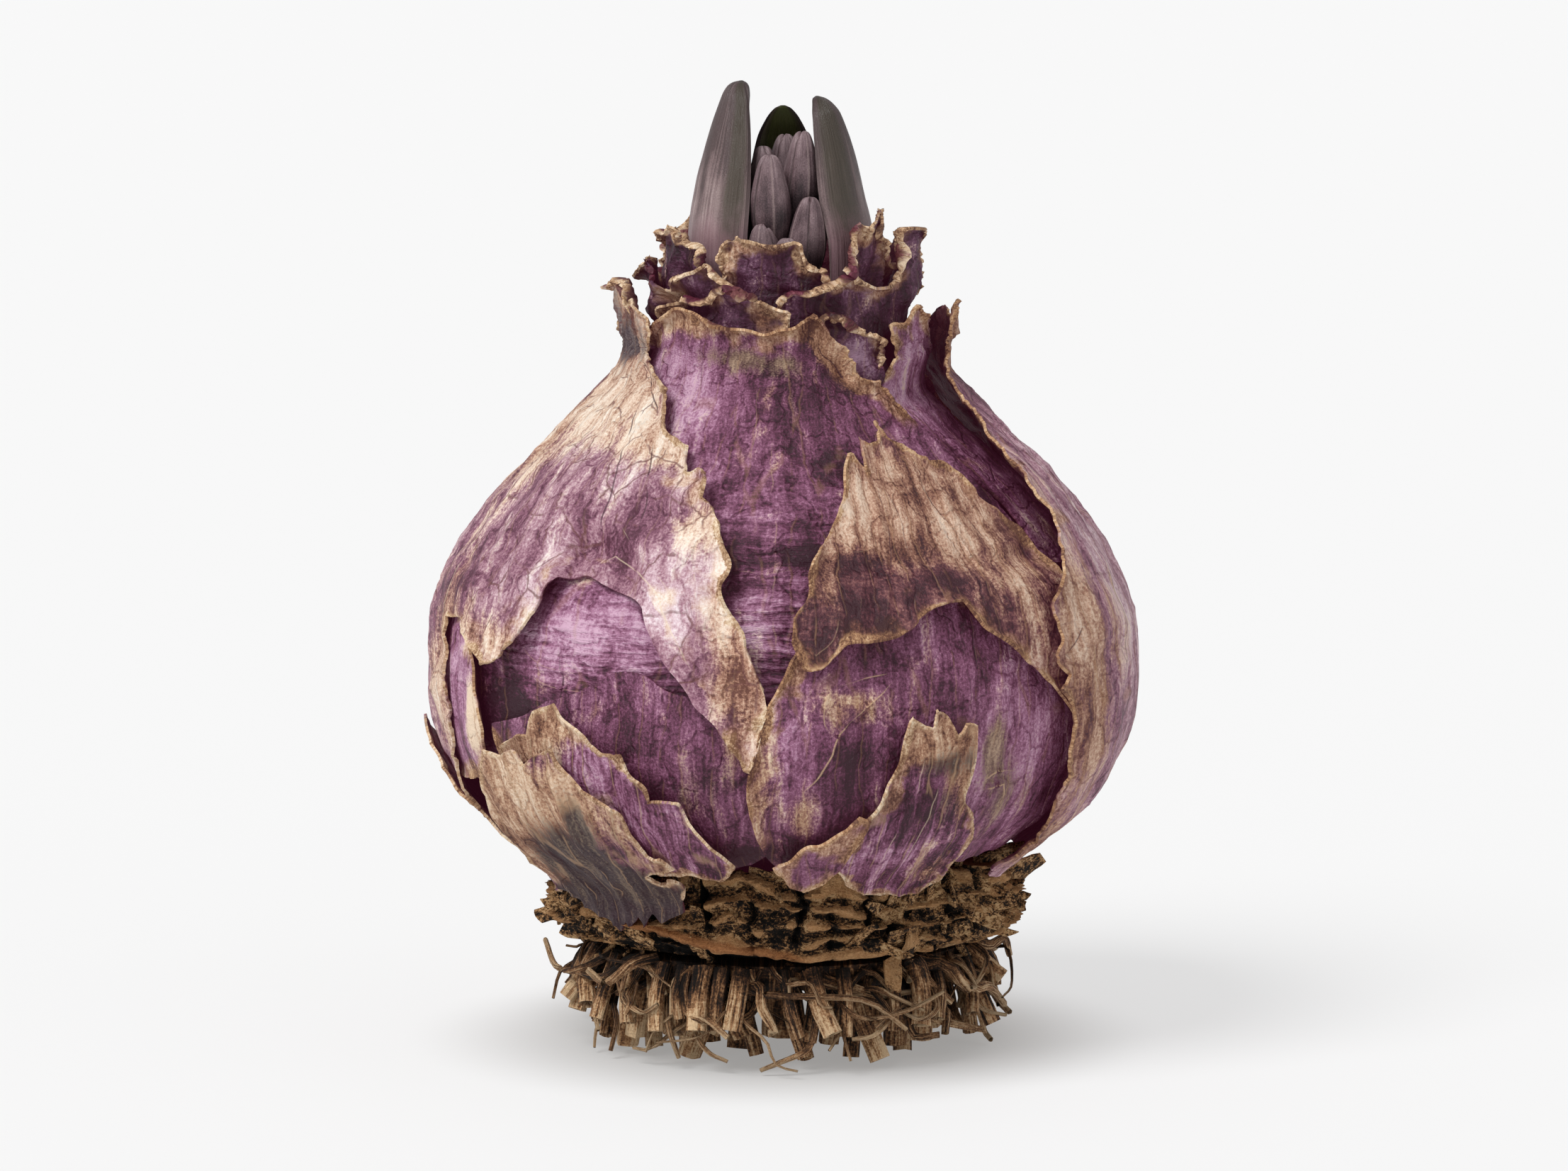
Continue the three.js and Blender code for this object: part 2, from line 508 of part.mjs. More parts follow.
function rootTuft() {
  const upright = [polar(0, 0, ROOT_TOP), polar(0, 0, BELOW_FLOOR)];
  const stubs = [root(upright, REST_STUB_RADIUS, 8, 1), ...STUB_RINGS.flatMap(stubsOfRing)];
  const thin = Array.from({ length: THIN_ROOTS }, (_, i) => thinRoot(i));
  const tuft = solidOf(geometryOf(joined([lathe(CALLUS, 24), ...stubs, ...thin])));
  const aboveFloor = new THREE.BoxGeometry(60, 60, 20).translate(0, 0, 10);
  return geometryOf(tuft.intersect(solidOf(aboveFloor)));
}

addPiece("root_tuft", rootTuft(), ROOT);

// Leaves: thick crescents that stand round the florets and close to a blunt tip
const LEAF_ARC = 8;
const LEAF_STEPS = 9;

// stations: [height, distance of the chord from the axis, half width, outer and inner bulge]
function leafGeometry(azimuth, stations) {
  const outward = polar(azimuth, 1, 0);
  const across = polar(azimuth + 90, 1, 0);
  const low = stations[0][0];
  const high = stations[stations.length - 1][0];
  const at = (z, column) => along(stations.map((s) => [s[0], s[column]]), z);
  const rings = Array.from({ length: LEAF_STEPS + 1 }, (_, k) => {
    const z = mix(low, high, 1 - (1 - k / LEAF_STEPS) ** 1.5);
    const point = (s, bulge) => new THREE.Vector3(0, 0, z)
      .addScaledVector(outward, at(z, 1) + bulge * Math.cos((s * Math.PI) / 2))
      .addScaledVector(across, at(z, 2) * Math.sin((s * Math.PI) / 2));
    const side = (bulge, from, to) => Array.from({ length: LEAF_ARC }, (_, i) =>
      point(mix(from, to, i / LEAF_ARC), bulge));
    return [...side(at(z, 3), -1, 1), ...side(at(z, 4), 1, -1)];
  });
  return ringsGeometry(rings);
}

// A closed surface through rings of points, with a flat fan at each end
function ringsGeometry(rings) {
  const count = rings[0].length;
  const index = [];
  for (let k = 0; k < rings.length - 1; k++) {
    for (let i = 0; i < count; i++) {
      const [a, b] = [k * count + i, k * count + ((i + 1) % count)];
      index.push(a, b, b + count, a, b + count, a + count);
    }
  }
  const last = (rings.length - 1) * count;
  for (let i = 0; i < count / 2; i++) {
    const [a, b, c, d] = [i, i + 1, count - 1 - i, (count - i) % count];
    const faces = [[b, a, d], [b, d, c]].filter((face) => new Set(face).size === 3);
    for (const [p, q, r] of faces) index.push(p, q, r, last + q, last + p, last + r);
  }
  const points = rings.flat();
  const geometry = new THREE.BufferGeometry().setFromPoints(points);
  geometry.setIndex(index);
  return geometry;
}

addPiece("leaf_left", leafGeometry(-80, [
  [SHOOT_BASE, 3.7, 4.4, 3.7, 1.9], [68, 3.9, 4.9, 3.8, 2], [73, 3.5, 4.3, 3.5, 1.6],
  [77, 3.3, 3.2, 2.5, 0.5], [80, 3.4, 1.9, 1.4, -0.4], [81.6, 3.5, 0.6, 0.5, -0.2],
]), LEAF);
addPiece("leaf_right", leafGeometry(78, [
  [SHOOT_BASE, 4.9, 4.2, 2.6, 1], [68, 4.9, 4.7, 2.8, 1.1], [72, 4, 4.3, 2.9, 1],
  [76, 3.4, 3.2, 2.2, 0.3], [78.8, 3, 1.9, 1.4, -0.4], [80.3, 2.6, 0.6, 0.5, -0.2],
]), LEAF);
addPiece("leaf_back", leafGeometry(180, [
  [SHOOT_BASE, 4.1, 2.7, 2.6, 1.1], [68, 4.1, 2.9, 2.6, 1.2], [73, 3.6, 2.8, 2.4, 1],
  [76.4, 2.6, 2.2, 2, 0.6], [78.2, 1.6, 1.4, 1.4, 0], [79.4, 0.8, 0.5, 0.6, -0.2],
]), LEAF);

// Flower bud: closed florets, each of three ribbed tepals, on a short stalk.
// Each floret is [x, y, tip height, length, radius].
const FLORET_LEAN = 0.12;
const FLORET_BLUNTNESS = 0.28;
const FLORET_RIB = 0.1;
const FLORETS = [
  [-1, -4.5, 75.7, 8.6, 1.75],
  [1.5, -2.6, 77.5, 9, 1.6],
  [2, -4.8, 72.2, 7.4, 1.65],
  [-1.5, -4.9, 70, 6, 1.6],
  [-1.5, -2, 76.2, 8, 1.5],
  [2.9, -0.6, 75.2, 8, 1.4],
  [0.3, -5.3, 68.8, 6, 1.6],
  [0.2, 0.2, 77, 8, 1.6],
  [-2.7, 1, 74, 8, 1.5],
  [2.6, 1.8, 74.2, 8, 1.5],
  [-0.4, 2.6, 74.6, 8, 1.5],
];

function floretGeometry([x, y, tip, length, radius], index) {
  const geometry = new THREE.SphereGeometry(1, 9, 7).rotateX(Math.PI / 2);
  const position = geometry.attributes.position;
  for (let i = 0; i < position.count; i++) {
    const p = new THREE.Vector3().fromBufferAttribute(position, i);
    const turn = Math.atan2(p.y, p.x) + index * 2.4;
    const rib = 1 - FLORET_RIB * (1 - Math.abs(Math.cos(1.5 * turn)));
    const girth = radius * rib * (1 - FLORET_BLUNTNESS * ramp(p.z, -0.2, 1));
    const spread = 1 + FLORET_LEAN * p.z;
    const height = tip - ((1 - p.z) * length) / 2;
    position.setXYZ(i, x * spread + p.x * girth, y * spread + p.y * girth, height);
  }
  return geometry;
}

const stalk = [[SHOOT_BASE, 0], [SHOOT_BASE, 2.3], [66, 2.5], [72, 1.6], [73, 0]];
addPiece("flower_bud", geometryOf(joined([lathe(stalk, 12), ...FLORETS.map(floretGeometry)])), FLORET);

export default bulb;
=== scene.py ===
# %% [markdown]
# A hyacinth bulb with its flower shoot.
# The bulb stands on trimmed, dried roots under a corky plate. Thin papery skins, torn and lifted
# at their edges, lie in layers round the fleshy body. At the top their crumpled collars hold three
# leaf tips and a cluster of florets that are still closed.
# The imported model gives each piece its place. This script makes the fine surface over it.
# All shapes are worked out in millimetres and turned into metres at the end.

# %% Load the frame
import math

import bpy
import numpy as np
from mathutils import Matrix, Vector
from mathutils.geometry import delaunay_2d_cdt
from mathutils.kdtree import KDTree


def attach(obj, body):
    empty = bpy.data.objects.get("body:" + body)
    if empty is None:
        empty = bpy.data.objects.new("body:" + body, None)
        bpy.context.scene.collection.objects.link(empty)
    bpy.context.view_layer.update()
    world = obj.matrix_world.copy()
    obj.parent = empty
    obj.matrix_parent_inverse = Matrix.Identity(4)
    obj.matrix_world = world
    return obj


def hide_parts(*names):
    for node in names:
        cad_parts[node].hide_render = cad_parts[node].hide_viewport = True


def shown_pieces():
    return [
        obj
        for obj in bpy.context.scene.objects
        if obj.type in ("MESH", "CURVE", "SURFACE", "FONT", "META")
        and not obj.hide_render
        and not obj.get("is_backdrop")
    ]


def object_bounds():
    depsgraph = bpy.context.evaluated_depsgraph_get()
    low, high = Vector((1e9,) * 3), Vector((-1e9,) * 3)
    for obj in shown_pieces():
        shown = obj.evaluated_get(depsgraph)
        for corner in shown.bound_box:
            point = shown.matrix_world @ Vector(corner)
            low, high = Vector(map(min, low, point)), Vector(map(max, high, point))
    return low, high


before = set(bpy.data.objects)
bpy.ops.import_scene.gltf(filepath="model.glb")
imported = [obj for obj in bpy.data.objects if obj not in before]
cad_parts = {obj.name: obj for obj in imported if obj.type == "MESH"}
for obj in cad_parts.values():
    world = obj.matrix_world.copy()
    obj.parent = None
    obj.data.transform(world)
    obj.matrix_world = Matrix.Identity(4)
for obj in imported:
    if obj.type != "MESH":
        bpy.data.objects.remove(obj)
cad_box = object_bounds()
MM = 0.001
box_low, box_high = (np.array(corner, float) / MM for corner in cad_box)
print("frame nodes:", len(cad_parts), "box in mm:", box_low.round(1), box_high.round(1))

# %% [markdown]
# The camera comes first. It stands a little above the table and looks at the middle of the bulb.
# Its lens is worked out from the size of one pixel at the bulb's axis, so that the picture keeps
# the scale of the photograph.

# %% Camera
PHOTO_WIDTH = 2213
MM_PER_PIXEL = 0.06
CAMERA_DISTANCE = 700
CAMERA_ELEVATION = math.radians(8)
TARGET_HEIGHT = 38.7
SENSOR_WIDTH = 36
AXIS_LEFT_OF_CENTRE = 1.5

camera_data = bpy.data.cameras.new("photo_camera")
camera_data.sensor_width = SENSOR_WIDTH
camera_data.lens = SENSOR_WIDTH * CAMERA_DISTANCE / MM_PER_PIXEL / PHOTO_WIDTH
camera_data.shift_x = AXIS_LEFT_OF_CENTRE / PHOTO_WIDTH
camera_data.clip_start = 0.05
camera = bpy.data.objects.new("photo_camera", camera_data)
bpy.context.scene.collection.objects.link(camera)
back = CAMERA_DISTANCE * math.cos(CAMERA_ELEVATION)
rise = TARGET_HEIGHT + CAMERA_DISTANCE * math.sin(CAMERA_ELEVATION)
camera.location = Vector((0, -back, rise)) * MM
camera.rotation_euler = (math.pi / 2 - CAMERA_ELEVATION, 0, 0)
bpy.context.scene.camera = camera
bpy.context.scene.view_settings.view_transform = "Standard"
print("camera lens in mm:", round(camera_data.lens, 1))

# %% [markdown]
# A finish is a net of shader nodes. Written as formulas, it stays readable: a Socket wraps one
# output of a node, and adding or multiplying two of them adds the Math node that does it.
# Colours never go through Math nodes, which would turn them grey, but through Mix nodes.

# %% Shader maths
class Socket:
    """One output of a shader node, to calculate with."""

    def __init__(self, finish, output):
        self.finish = finish
        self.output = output

    def maths(self, operation, *values):
        return self.finish.node("ShaderNodeMath", {"operation": operation}, dict(enumerate(values)))

    def __add__(self, other):
        return self.maths("ADD", self, other)

    def __sub__(self, other):
        return self.maths("SUBTRACT", self, other)

    def __rsub__(self, other):
        return self.maths("SUBTRACT", other, self)

    def __mul__(self, other):
        return self.maths("MULTIPLY", self, other)

    __radd__ = __add__
    __rmul__ = __mul__

    def size(self):
        return self.maths("ABSOLUTE", self)

    def larger(self, other):
        return self.maths("MAXIMUM", self, other)

    def vector_maths(self, operation, other):
        settings = {"operation": operation}
        return self.finish.node("ShaderNodeVectorMath", settings, {0: self, 1: other})

    def stretched(self, x, y, z=0):
        return self.vector_maths("MULTIPLY", (x, y, z))

    def moved(self, other):
        return self.vector_maths("ADD", other)


class Finish:
    """A material and its node net."""

    def __init__(self, name):
        self.material = bpy.data.materials.new(name)
        self.material.use_nodes = True
        self.tree = self.material.node_tree
        self.tree.nodes.clear()

    def node(self, kind, settings, inputs, output=0):
        made = self.tree.nodes.new(kind)
        for name, setting in settings.items():
            if name == "stops":
                self.set_stops(made.color_ramp, setting)
            else:
                setattr(made, name, setting)
        for name, value in inputs.items():
            if isinstance(value, Socket):
                self.tree.links.new(value.output, made.inputs[name])
            else:
                made.inputs[name].default_value = value
        return Socket(self, made.outputs[output])

    @staticmethod
    def set_stops(ramp, stops):
        while len(ramp.elements) < len(stops):
            ramp.elements.new(1)
        for element, (place, colour) in zip(ramp.elements, stops):
            element.position = place
            element.color = colour

    def attribute(self, name, output="Fac"):
        return self.node("ShaderNodeAttribute", {"attribute_name": name}, {}, output)

    def place(self):
        """Object coordinates in millimetres."""
        metres = self.node("ShaderNodeTexCoord", {}, {}, "Object")
        return metres.stretched(1 / MM, 1 / MM, 1 / MM)

    def noise(self, place, detail=3, roughness=0.55, distortion=0, dimensions="2D", output=0):
        inputs = {"Vector": place, "Scale": 1, "Detail": detail, "Roughness": roughness,
                  "Distortion": distortion}
        return self.node("ShaderNodeTexNoise", {"noise_dimensions": dimensions}, inputs, output)

    def bumps(self, place, sizes, detail=3, roughness=0.6, distortion=0):
        """Noise round 0, stretched by sizes. Three sizes make it solid noise, two make it flat."""
        dimensions = f"{len(sizes)}D"
        return self.noise(place.stretched(*sizes), detail, roughness, distortion, dimensions) - 0.5

    def warped(self, place, size, amount):
        """The place, pushed about by soft noise, so that straight patterns wander."""
        push = self.noise(place.stretched(1 / size, 1 / size), 2, 0.5, output=1)
        return place.moved(push.moved((-0.5, -0.5, -0.5)).stretched(2 * amount, 2 * amount))

    def cell_walls(self, place):
        """0 on the walls between random cells, growing towards the middle of each cell."""
        settings = {"feature": "DISTANCE_TO_EDGE", "voronoi_dimensions": "2D"}
        return self.node("ShaderNodeTexVoronoi", settings, {"Vector": place, "Scale": 1})

    def ramp(self, value, stops):
        return self.node("ShaderNodeValToRGB", {"stops": stops}, {"Fac": value})

    def smooth(self, value, low, high):
        """0 below low, 1 above high and smooth between them. With low above high it falls."""
        inputs = {"Value": value, "From Min": low, "From Max": high}
        return self.node("ShaderNodeMapRange", {"interpolation_type": "SMOOTHSTEP"}, inputs)

    def mix(self, colour, other, share):
        inputs = {0: share, 6: colour, 7: other}
        return self.node("ShaderNodeMix", {"data_type": "RGBA"}, inputs, 2)

    def surface(self, colour, roughness, height, depth, **constants):
        """Ends the net: colour, roughness and a relief whose height 0 to 1 is depth mm deep."""
        settings = {"Height": height, "Distance": depth * MM, "Strength": 1}
        normal = self.node("ShaderNodeBump", {}, settings)
        inputs = {"Base Color": colour, "Roughness": roughness, "Normal": normal}
        for name, value in constants.items():
            inputs[name.replace("_", " ")] = value
        shader = self.node("ShaderNodeBsdfPrincipled", {}, inputs)
        self.node_out(shader)
        return self.material

    def node_out(self, shader):
        out = self.tree.nodes.new("ShaderNodeOutputMaterial")
        self.tree.links.new(shader.output, out.inputs["Surface"])


def linear(value):
    return value / 12.92 if value <= 0.04045 else ((value + 0.055) / 1.055) ** 2.4


def shade(red, green, blue):
    """A colour as seen on a screen, 0 to 255, as the shader's linear one."""
    return (*(linear(value / 255) for value in (red, green, blue)), 1)


def shades(*colours):
    """Evenly spaced stops of a ramp, from dark to pale, of colours as seen on a screen."""
    last = len(colours) - 1
    return [(i / last, shade(*colour)) for i, colour in enumerate(colours)]


print("shader maths ready")

# %% [markdown]
# The stage is a wide pale floor with a painted soft shadow round the bulb. The light is a big soft
# one from the upper left, a weak one from the right, and the pale room all round.

# %% Floor and light
FLOOR_SIZE = 12
FLOOR_GREY = (146, 146, 146)
# The floor glows a little, less in a painted shadow ring that reaches this far from the axis in mm
PAINTED_SHADOW_RING = (15, 33)
FLOOR_GLOW = 0.6
# Name, direction as seen from the bulb, strength and angle in degrees
SUNS = [("key_light", (-0.55, -0.55, 0.95), 2.6, 30), ("fill_light", (0.8, -0.5, 0.4), 0.3, 60)]
ROOM_LIGHT = 0.42


def add_floor():
    bpy.ops.object.select_all(action="DESELECT")
    bpy.ops.mesh.primitive_plane_add(size=FLOOR_SIZE, location=(0, 0, 0))
    floor = bpy.context.object
    floor.name = "floor"
    finish = Finish("floor_white")
    away = finish.node("ShaderNodeVectorMath", {"operation": "LENGTH"}, {0: finish.place()}, 1)
    # The glow is dimmed near the axis: a painted soft shadow round the bulb's foot
    glow_with_painted_shadow = finish.ramp(finish.smooth(away, *PAINTED_SHADOW_RING), shades((190, 188, 186), (255, 255, 255)))
    inputs = {"Base Color": shade(*FLOOR_GREY), "Roughness": 0.9,
              "Emission Color": glow_with_painted_shadow, "Emission Strength": FLOOR_GLOW}
    finish.node_out(finish.node("ShaderNodeBsdfPrincipled", {}, inputs))
    floor.data.materials.append(finish.material)
    floor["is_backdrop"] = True


def add_sun(name, towards, strength, angle):
    """A distant, soft light."""
    data = bpy.data.lights.new(name, "SUN")
    data.energy = strength
    data.angle = math.radians(angle)
    sun = bpy.data.objects.new(name, data)
    bpy.context.scene.collection.objects.link(sun)
    sun.rotation_euler = Vector(towards).to_track_quat("Z", "Y").to_euler()


def add_room_light(strength):
    world = bpy.data.worlds.new("pale_room")
    bpy.context.scene.world = world
    world.use_nodes = True
    background = world.node_tree.nodes["Background"]
    background.inputs["Color"].default_value = (1, 1, 1, 1)
    background.inputs["Strength"].default_value = strength


add_floor()
for sun in SUNS:
    add_sun(*sun)
add_room_light(ROOM_LIGHT)
print("floor and lights added:", len(SUNS))

# %% [markdown]
# The skins wrap one turned shape, so their common form is a profile of [height, radius] points.
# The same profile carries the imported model, which keeps every fine piece where its solid is.

# %% Wrap surface
WRAP_PROFILE = [
    [6, 16.1], [10, 16.4], [13, 16.8], [15, 17.4], [16.3, 18.1], [17.7, 19.2], [19.8, 21.5],
    [21.5, 23.4], [23.8, 25.2], [26, 26.2], [28.9, 27], [31.8, 27.2], [35.4, 26.9], [37.9, 26.3],
    [40.4, 25.1], [42.5, 23.7], [44.8, 21.8], [46.9, 19.6], [48.6, 17.5], [50.4, 15.3],
    [52.1, 13.2], [54.5, 10.6], [58, 8.6], [62, 8.2], [66, 8.1], [76, 8.1],
]
# A skin of layer 1 lies this far off the profile, and each layer more adds LAYER
SKIN_GAP = 0.35
LAYER = 0.95
SKIN_BAND = 0.5
SLOPE_STEP = 0.6


def ramp(x, low, high):
    """0 before low, 1 after high and smooth between them. With low above high it falls."""
    t = np.clip((np.asarray(x, float) - low) / (high - low), 0, 1)
    return t * t * (3 - 2 * t)


def bell(x, width):
    """1 at 0, falling smoothly to both sides."""
    return np.exp(-(x / width) ** 2)


def along(points, x):
    """Smooth value at x through a list of [x, value] points."""
    xs, ys = np.array(points, float).T
    every = np.arange(len(xs))
    before = np.maximum(every - 1, 0)
    after = np.minimum(every + 1, len(xs) - 1)
    slopes = (ys[after] - ys[before]) / (xs[after] - xs[before])
    x = np.asarray(x, float)
    i = np.clip(np.searchsorted(xs, x) - 1, 0, len(xs) - 2)
    width = xs[i + 1] - xs[i]
    t = np.clip((x - xs[i]) / width, 0, 1)
    start = (1 + 2 * t) * (1 - t) ** 2 * ys[i] + t * (1 - t) ** 2 * width * slopes[i]
    end = t * t * (3 - 2 * t) * ys[i + 1] + t * t * (t - 1) * width * slopes[i + 1]
    return start + end


def polar(azimuth, radius, height):
    """Points at azimuths in degrees: 0 is the front, 90 is towards +X."""
    turn = np.radians(azimuth)
    return np.stack(np.broadcast_arrays(radius * np.sin(turn), -radius * np.cos(turn), height), -1)


def wrap(azimuth, height, offset):
    """Points of the wrap surface, moved out along its normal by offset mm."""
    above, below = (along(WRAP_PROFILE, height + way * SLOPE_STEP) for way in (1, -1))
    slope = (above - below) / (2 * SLOPE_STEP)
    length = np.hypot(1, slope)
    radius = along(WRAP_PROFILE, height) + offset / length
    return polar(azimuth, radius, height - offset * slope / length)


HEIGHTS = np.linspace(5, 78, 1461)
STEPS = np.hypot(np.diff(HEIGHTS), np.diff(along(WRAP_PROFILE, HEIGHTS)))
LENGTHS = np.concatenate([[0], np.cumsum(STEPS)])


def flattened(azimuth, height, radius):
    """The wrap surface laid flat: mm round and mm up."""
    return np.stack([np.radians(azimuth) * radius, np.interp(height, HEIGHTS, LENGTHS)], -1)


def unflattened(points, radius):
    return np.degrees(points[:, 0] / radius), np.interp(points[:, 1], LENGTHS, HEIGHTS)


print("wrap surface length in mm:", LENGTHS[-1].round(1))

# %% [markdown]
# Dry skins are never even. Soft noise makes their swells, folds and wrinkles: it is a table of
# seeded random heights with smooth slopes between them, added up at finer and finer sizes.

# %% Noise for shapes
NOISE_SIDE = 64


def noise(u, v, seed):
    """Smooth bumps, one in each unit square, from -1 to 1."""
    table = np.random.default_rng(seed).uniform(-1, 1, (NOISE_SIDE, NOISE_SIDE))
    column = np.floor(u).astype(int)
    row = np.floor(v).astype(int)
    across = ramp(u - column, 0, 1)
    up = ramp(v - row, 0, 1)

    def corner(right, above):
        return table[(column + right) % NOISE_SIDE, (row + above) % NOISE_SIDE]

    low = corner(0, 0) * (1 - across) + corner(1, 0) * across
    high = corner(0, 1) * (1 - across) + corner(1, 1) * across
    return low * (1 - up) + high * up


def fractal(u, v, seed, octaves=3):
    """Noise of several sizes: each octave is half as large and half as high as the last."""
    layers = [noise(u * 2 ** k, v * 2 ** k, seed + k) / 2 ** k for k in range(octaves)]
    return sum(layers) / 1.5


print("noise table:", NOISE_SIDE, "by", NOISE_SIDE)

# %% [markdown]
# Each skin is drawn as an outline of corners, like a paper pattern: the azimuth of a corner in
# degrees, its height in mm, then those of the next one. Long sides become smooth curves, sharp
# corners stay, and small jags are added, because a dry skin tears like paper. Veins and folds
# are drawn as lines in the same way.

# %% Outlines and lines
# A corner is sharp if the cosine of its turn is under this
SHARP_TURN = 0.62
EDGE_STEP = 0.24
# Each kind of jag: mm between its knots, and its share of the raggedness
JAGS = ((3.1, 1), (1.1, 0.5), (0.45, 0.22))


def curve_through(corners, closed, step=EDGE_STEP):
    """Points along a curve through the corners, every step mm. Sharp corners stay sharp."""
    count = len(corners)
    sides = np.roll(corners, -1, 0) - corners
    lengths = np.hypot(*sides.T)
    headings = sides / lengths[:, None]
    parts = []
    for i in range(count if closed else count - 1):
        ends = []
        for k in (i, i + 1):
            inner_corner = closed or 0 < k < count - 1
            turned = headings[(k - 1) % count] + headings[k % count]
            blunt = headings[(k - 1) % count] @ headings[k % count] > SHARP_TURN
            heading = turned / np.hypot(*turned) if inner_corner and blunt else headings[i]
            ends.append(heading * lengths[i])
        t = np.arange(0, 1, step / lengths[i])[:, None]
        near = (1 + 2 * t) * (1 - t) ** 2 * corners[i] + t * (1 - t) ** 2 * ends[0]
        far = t * t * (3 - 2 * t) * corners[(i + 1) % count] + t * t * (t - 1) * ends[1]
        parts.append(near + far)
    return np.concatenate(parts)


def torn(points, ragged, seed):
    """Moves the points of a closed line sideways in uneven jags."""
    steps = np.roll(points, -1, 0) - np.roll(points, 1, 0)
    sizes = np.hypot(*steps.T)
    way = np.cumsum(sizes / 2)
    draw = np.random.default_rng(seed)
    shift = np.zeros(len(points))
    for spacing, share in JAGS:
        knots = int(way[-1] / spacing) + 2
        places = draw.uniform(0, way[-1], knots)
        shift += share * np.interp(way, places, draw.uniform(-1, 1, knots), period=way[-1])
    sideways = np.stack([steps[:, 1], -steps[:, 0]], 1) / sizes[:, None]
    return points + ragged * shift[:, None] * sideways


def inside(points, ring):
    """Which points lie inside a closed line, by counting its crossings."""
    found = np.zeros(len(points), bool)
    for (x0, y0), (x1, y1) in zip(ring, np.roll(ring, -1, 0)):
        spans = np.nonzero((y0 > points[:, 1]) != (y1 > points[:, 1]))[0]
        x, y = points[spans].T
        found[spans] ^= x < x0 + (y - y0) * (x1 - x0) / ((y1 - y0) or 1)
    return found


def nearest(points, targets):
    """Distance from each point to the nearest target, and which target that is."""
    tree = KDTree(len(targets))
    for i, (x, y) in enumerate(targets):
        tree.insert((x, y, 0), i)
    tree.balance()
    found = [tree.find((x, y, 0)) for x, y in points]
    return np.array([f[2] for f in found]), np.array([f[1] for f in found])


print("outline step in mm:", EDGE_STEP)

# %% [markdown]
# A torn outline with folds can't be cut well from a regular grid of faces. So this is the one
# shape that isn't started from a primitive: points are laid inside the outline in a honeycomb,
# more of them exactly on the edge and on the folds, and a triangulation joins them all.

# %% Flat mesh of a skin
ROW_HEIGHT = 0.866
CLEARANCE = 0.5


def honeycomb(ring, cell):
    low, high = ring.min(0), ring.max(0)
    rows = np.arange(low[1], high[1], cell * ROW_HEIGHT)
    columns = np.arange(low[0], high[0], cell)
    u, v = np.meshgrid(columns, rows)
    u[1::2] += cell / 2
    return np.stack([u.ravel(), v.ravel()], 1)


def flat_mesh(ring, lines, cell):
    """Points and triangles inside a closed line, with points on each of the drawn lines."""
    room = CLEARANCE * cell

    def clear(points, others):
        return points[nearest(points, others)[0] > room]

    points = honeycomb(ring, cell)
    points = clear(points[inside(points, ring)], ring)
    if len(lines):
        drawn = clear(lines[inside(lines, ring)], ring)
        if len(drawn):
            points = np.concatenate([clear(points, drawn), drawn])
    every = [Vector(p) for p in np.concatenate([ring, points])]
    outline = [list(range(len(ring)))]
    made = delaunay_2d_cdt(every, [], outline, 1, 1e-6)
    return np.array([tuple(p) for p in made[0]]), [tuple(face) for face in made[2]]


print("points keep clear of an outline by", CLEARANCE, "of a cell")

# %% [markdown]
# A few small steps come back for every piece, so each is a helper: to select one piece, to read
# and move its points in mm, to copy it, to join several, to give a sheet its wall with Solidify,
# and to turn all faces outwards. Numbers kept for each point are what a finish reads later.

# %% Helpers for pieces
BOX_MARGIN = 0.01


def select_only(piece):
    bpy.ops.object.select_all(action="DESELECT")
    piece.select_set(True)
    bpy.context.view_layer.objects.active = piece


def linked(name, mesh):
    piece = bpy.data.objects.new(name, mesh)
    bpy.context.scene.collection.objects.link(piece)
    return piece


def new_piece(name, points, faces):
    mesh = bpy.data.meshes.new(name)
    mesh.from_pydata((points * MM).tolist(), [], faces)
    return linked(name, mesh)


def points_of(piece):
    flat = np.empty(len(piece.data.vertices) * 3)
    piece.data.vertices.foreach_get("co", flat)
    return flat.reshape(-1, 3) / MM


def unit_points(template):
    """The points of a template whose size is 1."""
    return points_of(template) * MM


def move_points(piece, points):
    piece.data.vertices.foreach_set("co", (points * MM).ravel())
    piece.data.update()


def keep_in_box(piece):
    points = np.clip(points_of(piece), box_low + BOX_MARGIN, box_high - BOX_MARGIN)
    move_points(piece, points)


def copy_of(template, name, points):
    """A copy with its own mesh, its points moved to their new places."""
    piece = linked(name, template.data.copy())
    move_points(piece, points)
    return piece


def joined(pieces):
    """Joins all into the first one."""
    select_only(pieces[0])
    for piece in pieces:
        piece.select_set(True)
    bpy.ops.object.join()


def give_wall(piece, thickness):
    """Thickens a sheet inwards. The points of its inner face come after those of the outer one."""
    select_only(piece)
    wall = piece.modifiers.new("wall", "SOLIDIFY")
    wall.thickness = thickness * MM
    wall.offset = -1
    bpy.ops.object.modifier_apply(modifier="wall")


def face_outwards():
    """Ends edit mode with all faces turned outwards."""
    bpy.ops.mesh.select_all(action="SELECT")
    bpy.ops.mesh.normals_make_consistent(inside=False)
    bpy.ops.object.mode_set(mode="OBJECT")


def flow_map(u, v):
    """Flat coordinates of a surface in mm, for its fibres: round the piece and along it."""
    return np.column_stack([u, v, 0 * u])


def add_values(piece, **columns):
    """Keeps numbers or vectors of the points, for the finish to read. One number goes for all."""
    for name, values in columns.items():
        if np.ndim(values) == 0:
            values = np.full(len(piece.data.vertices), values)
        kind, key = ("FLOAT", "value") if values.ndim == 1 else ("FLOAT_VECTOR", "vector")
        attribute = piece.data.attributes.new(name, kind, "POINT")
        attribute.data.foreach_set(key, values.astype(np.float32).ravel())


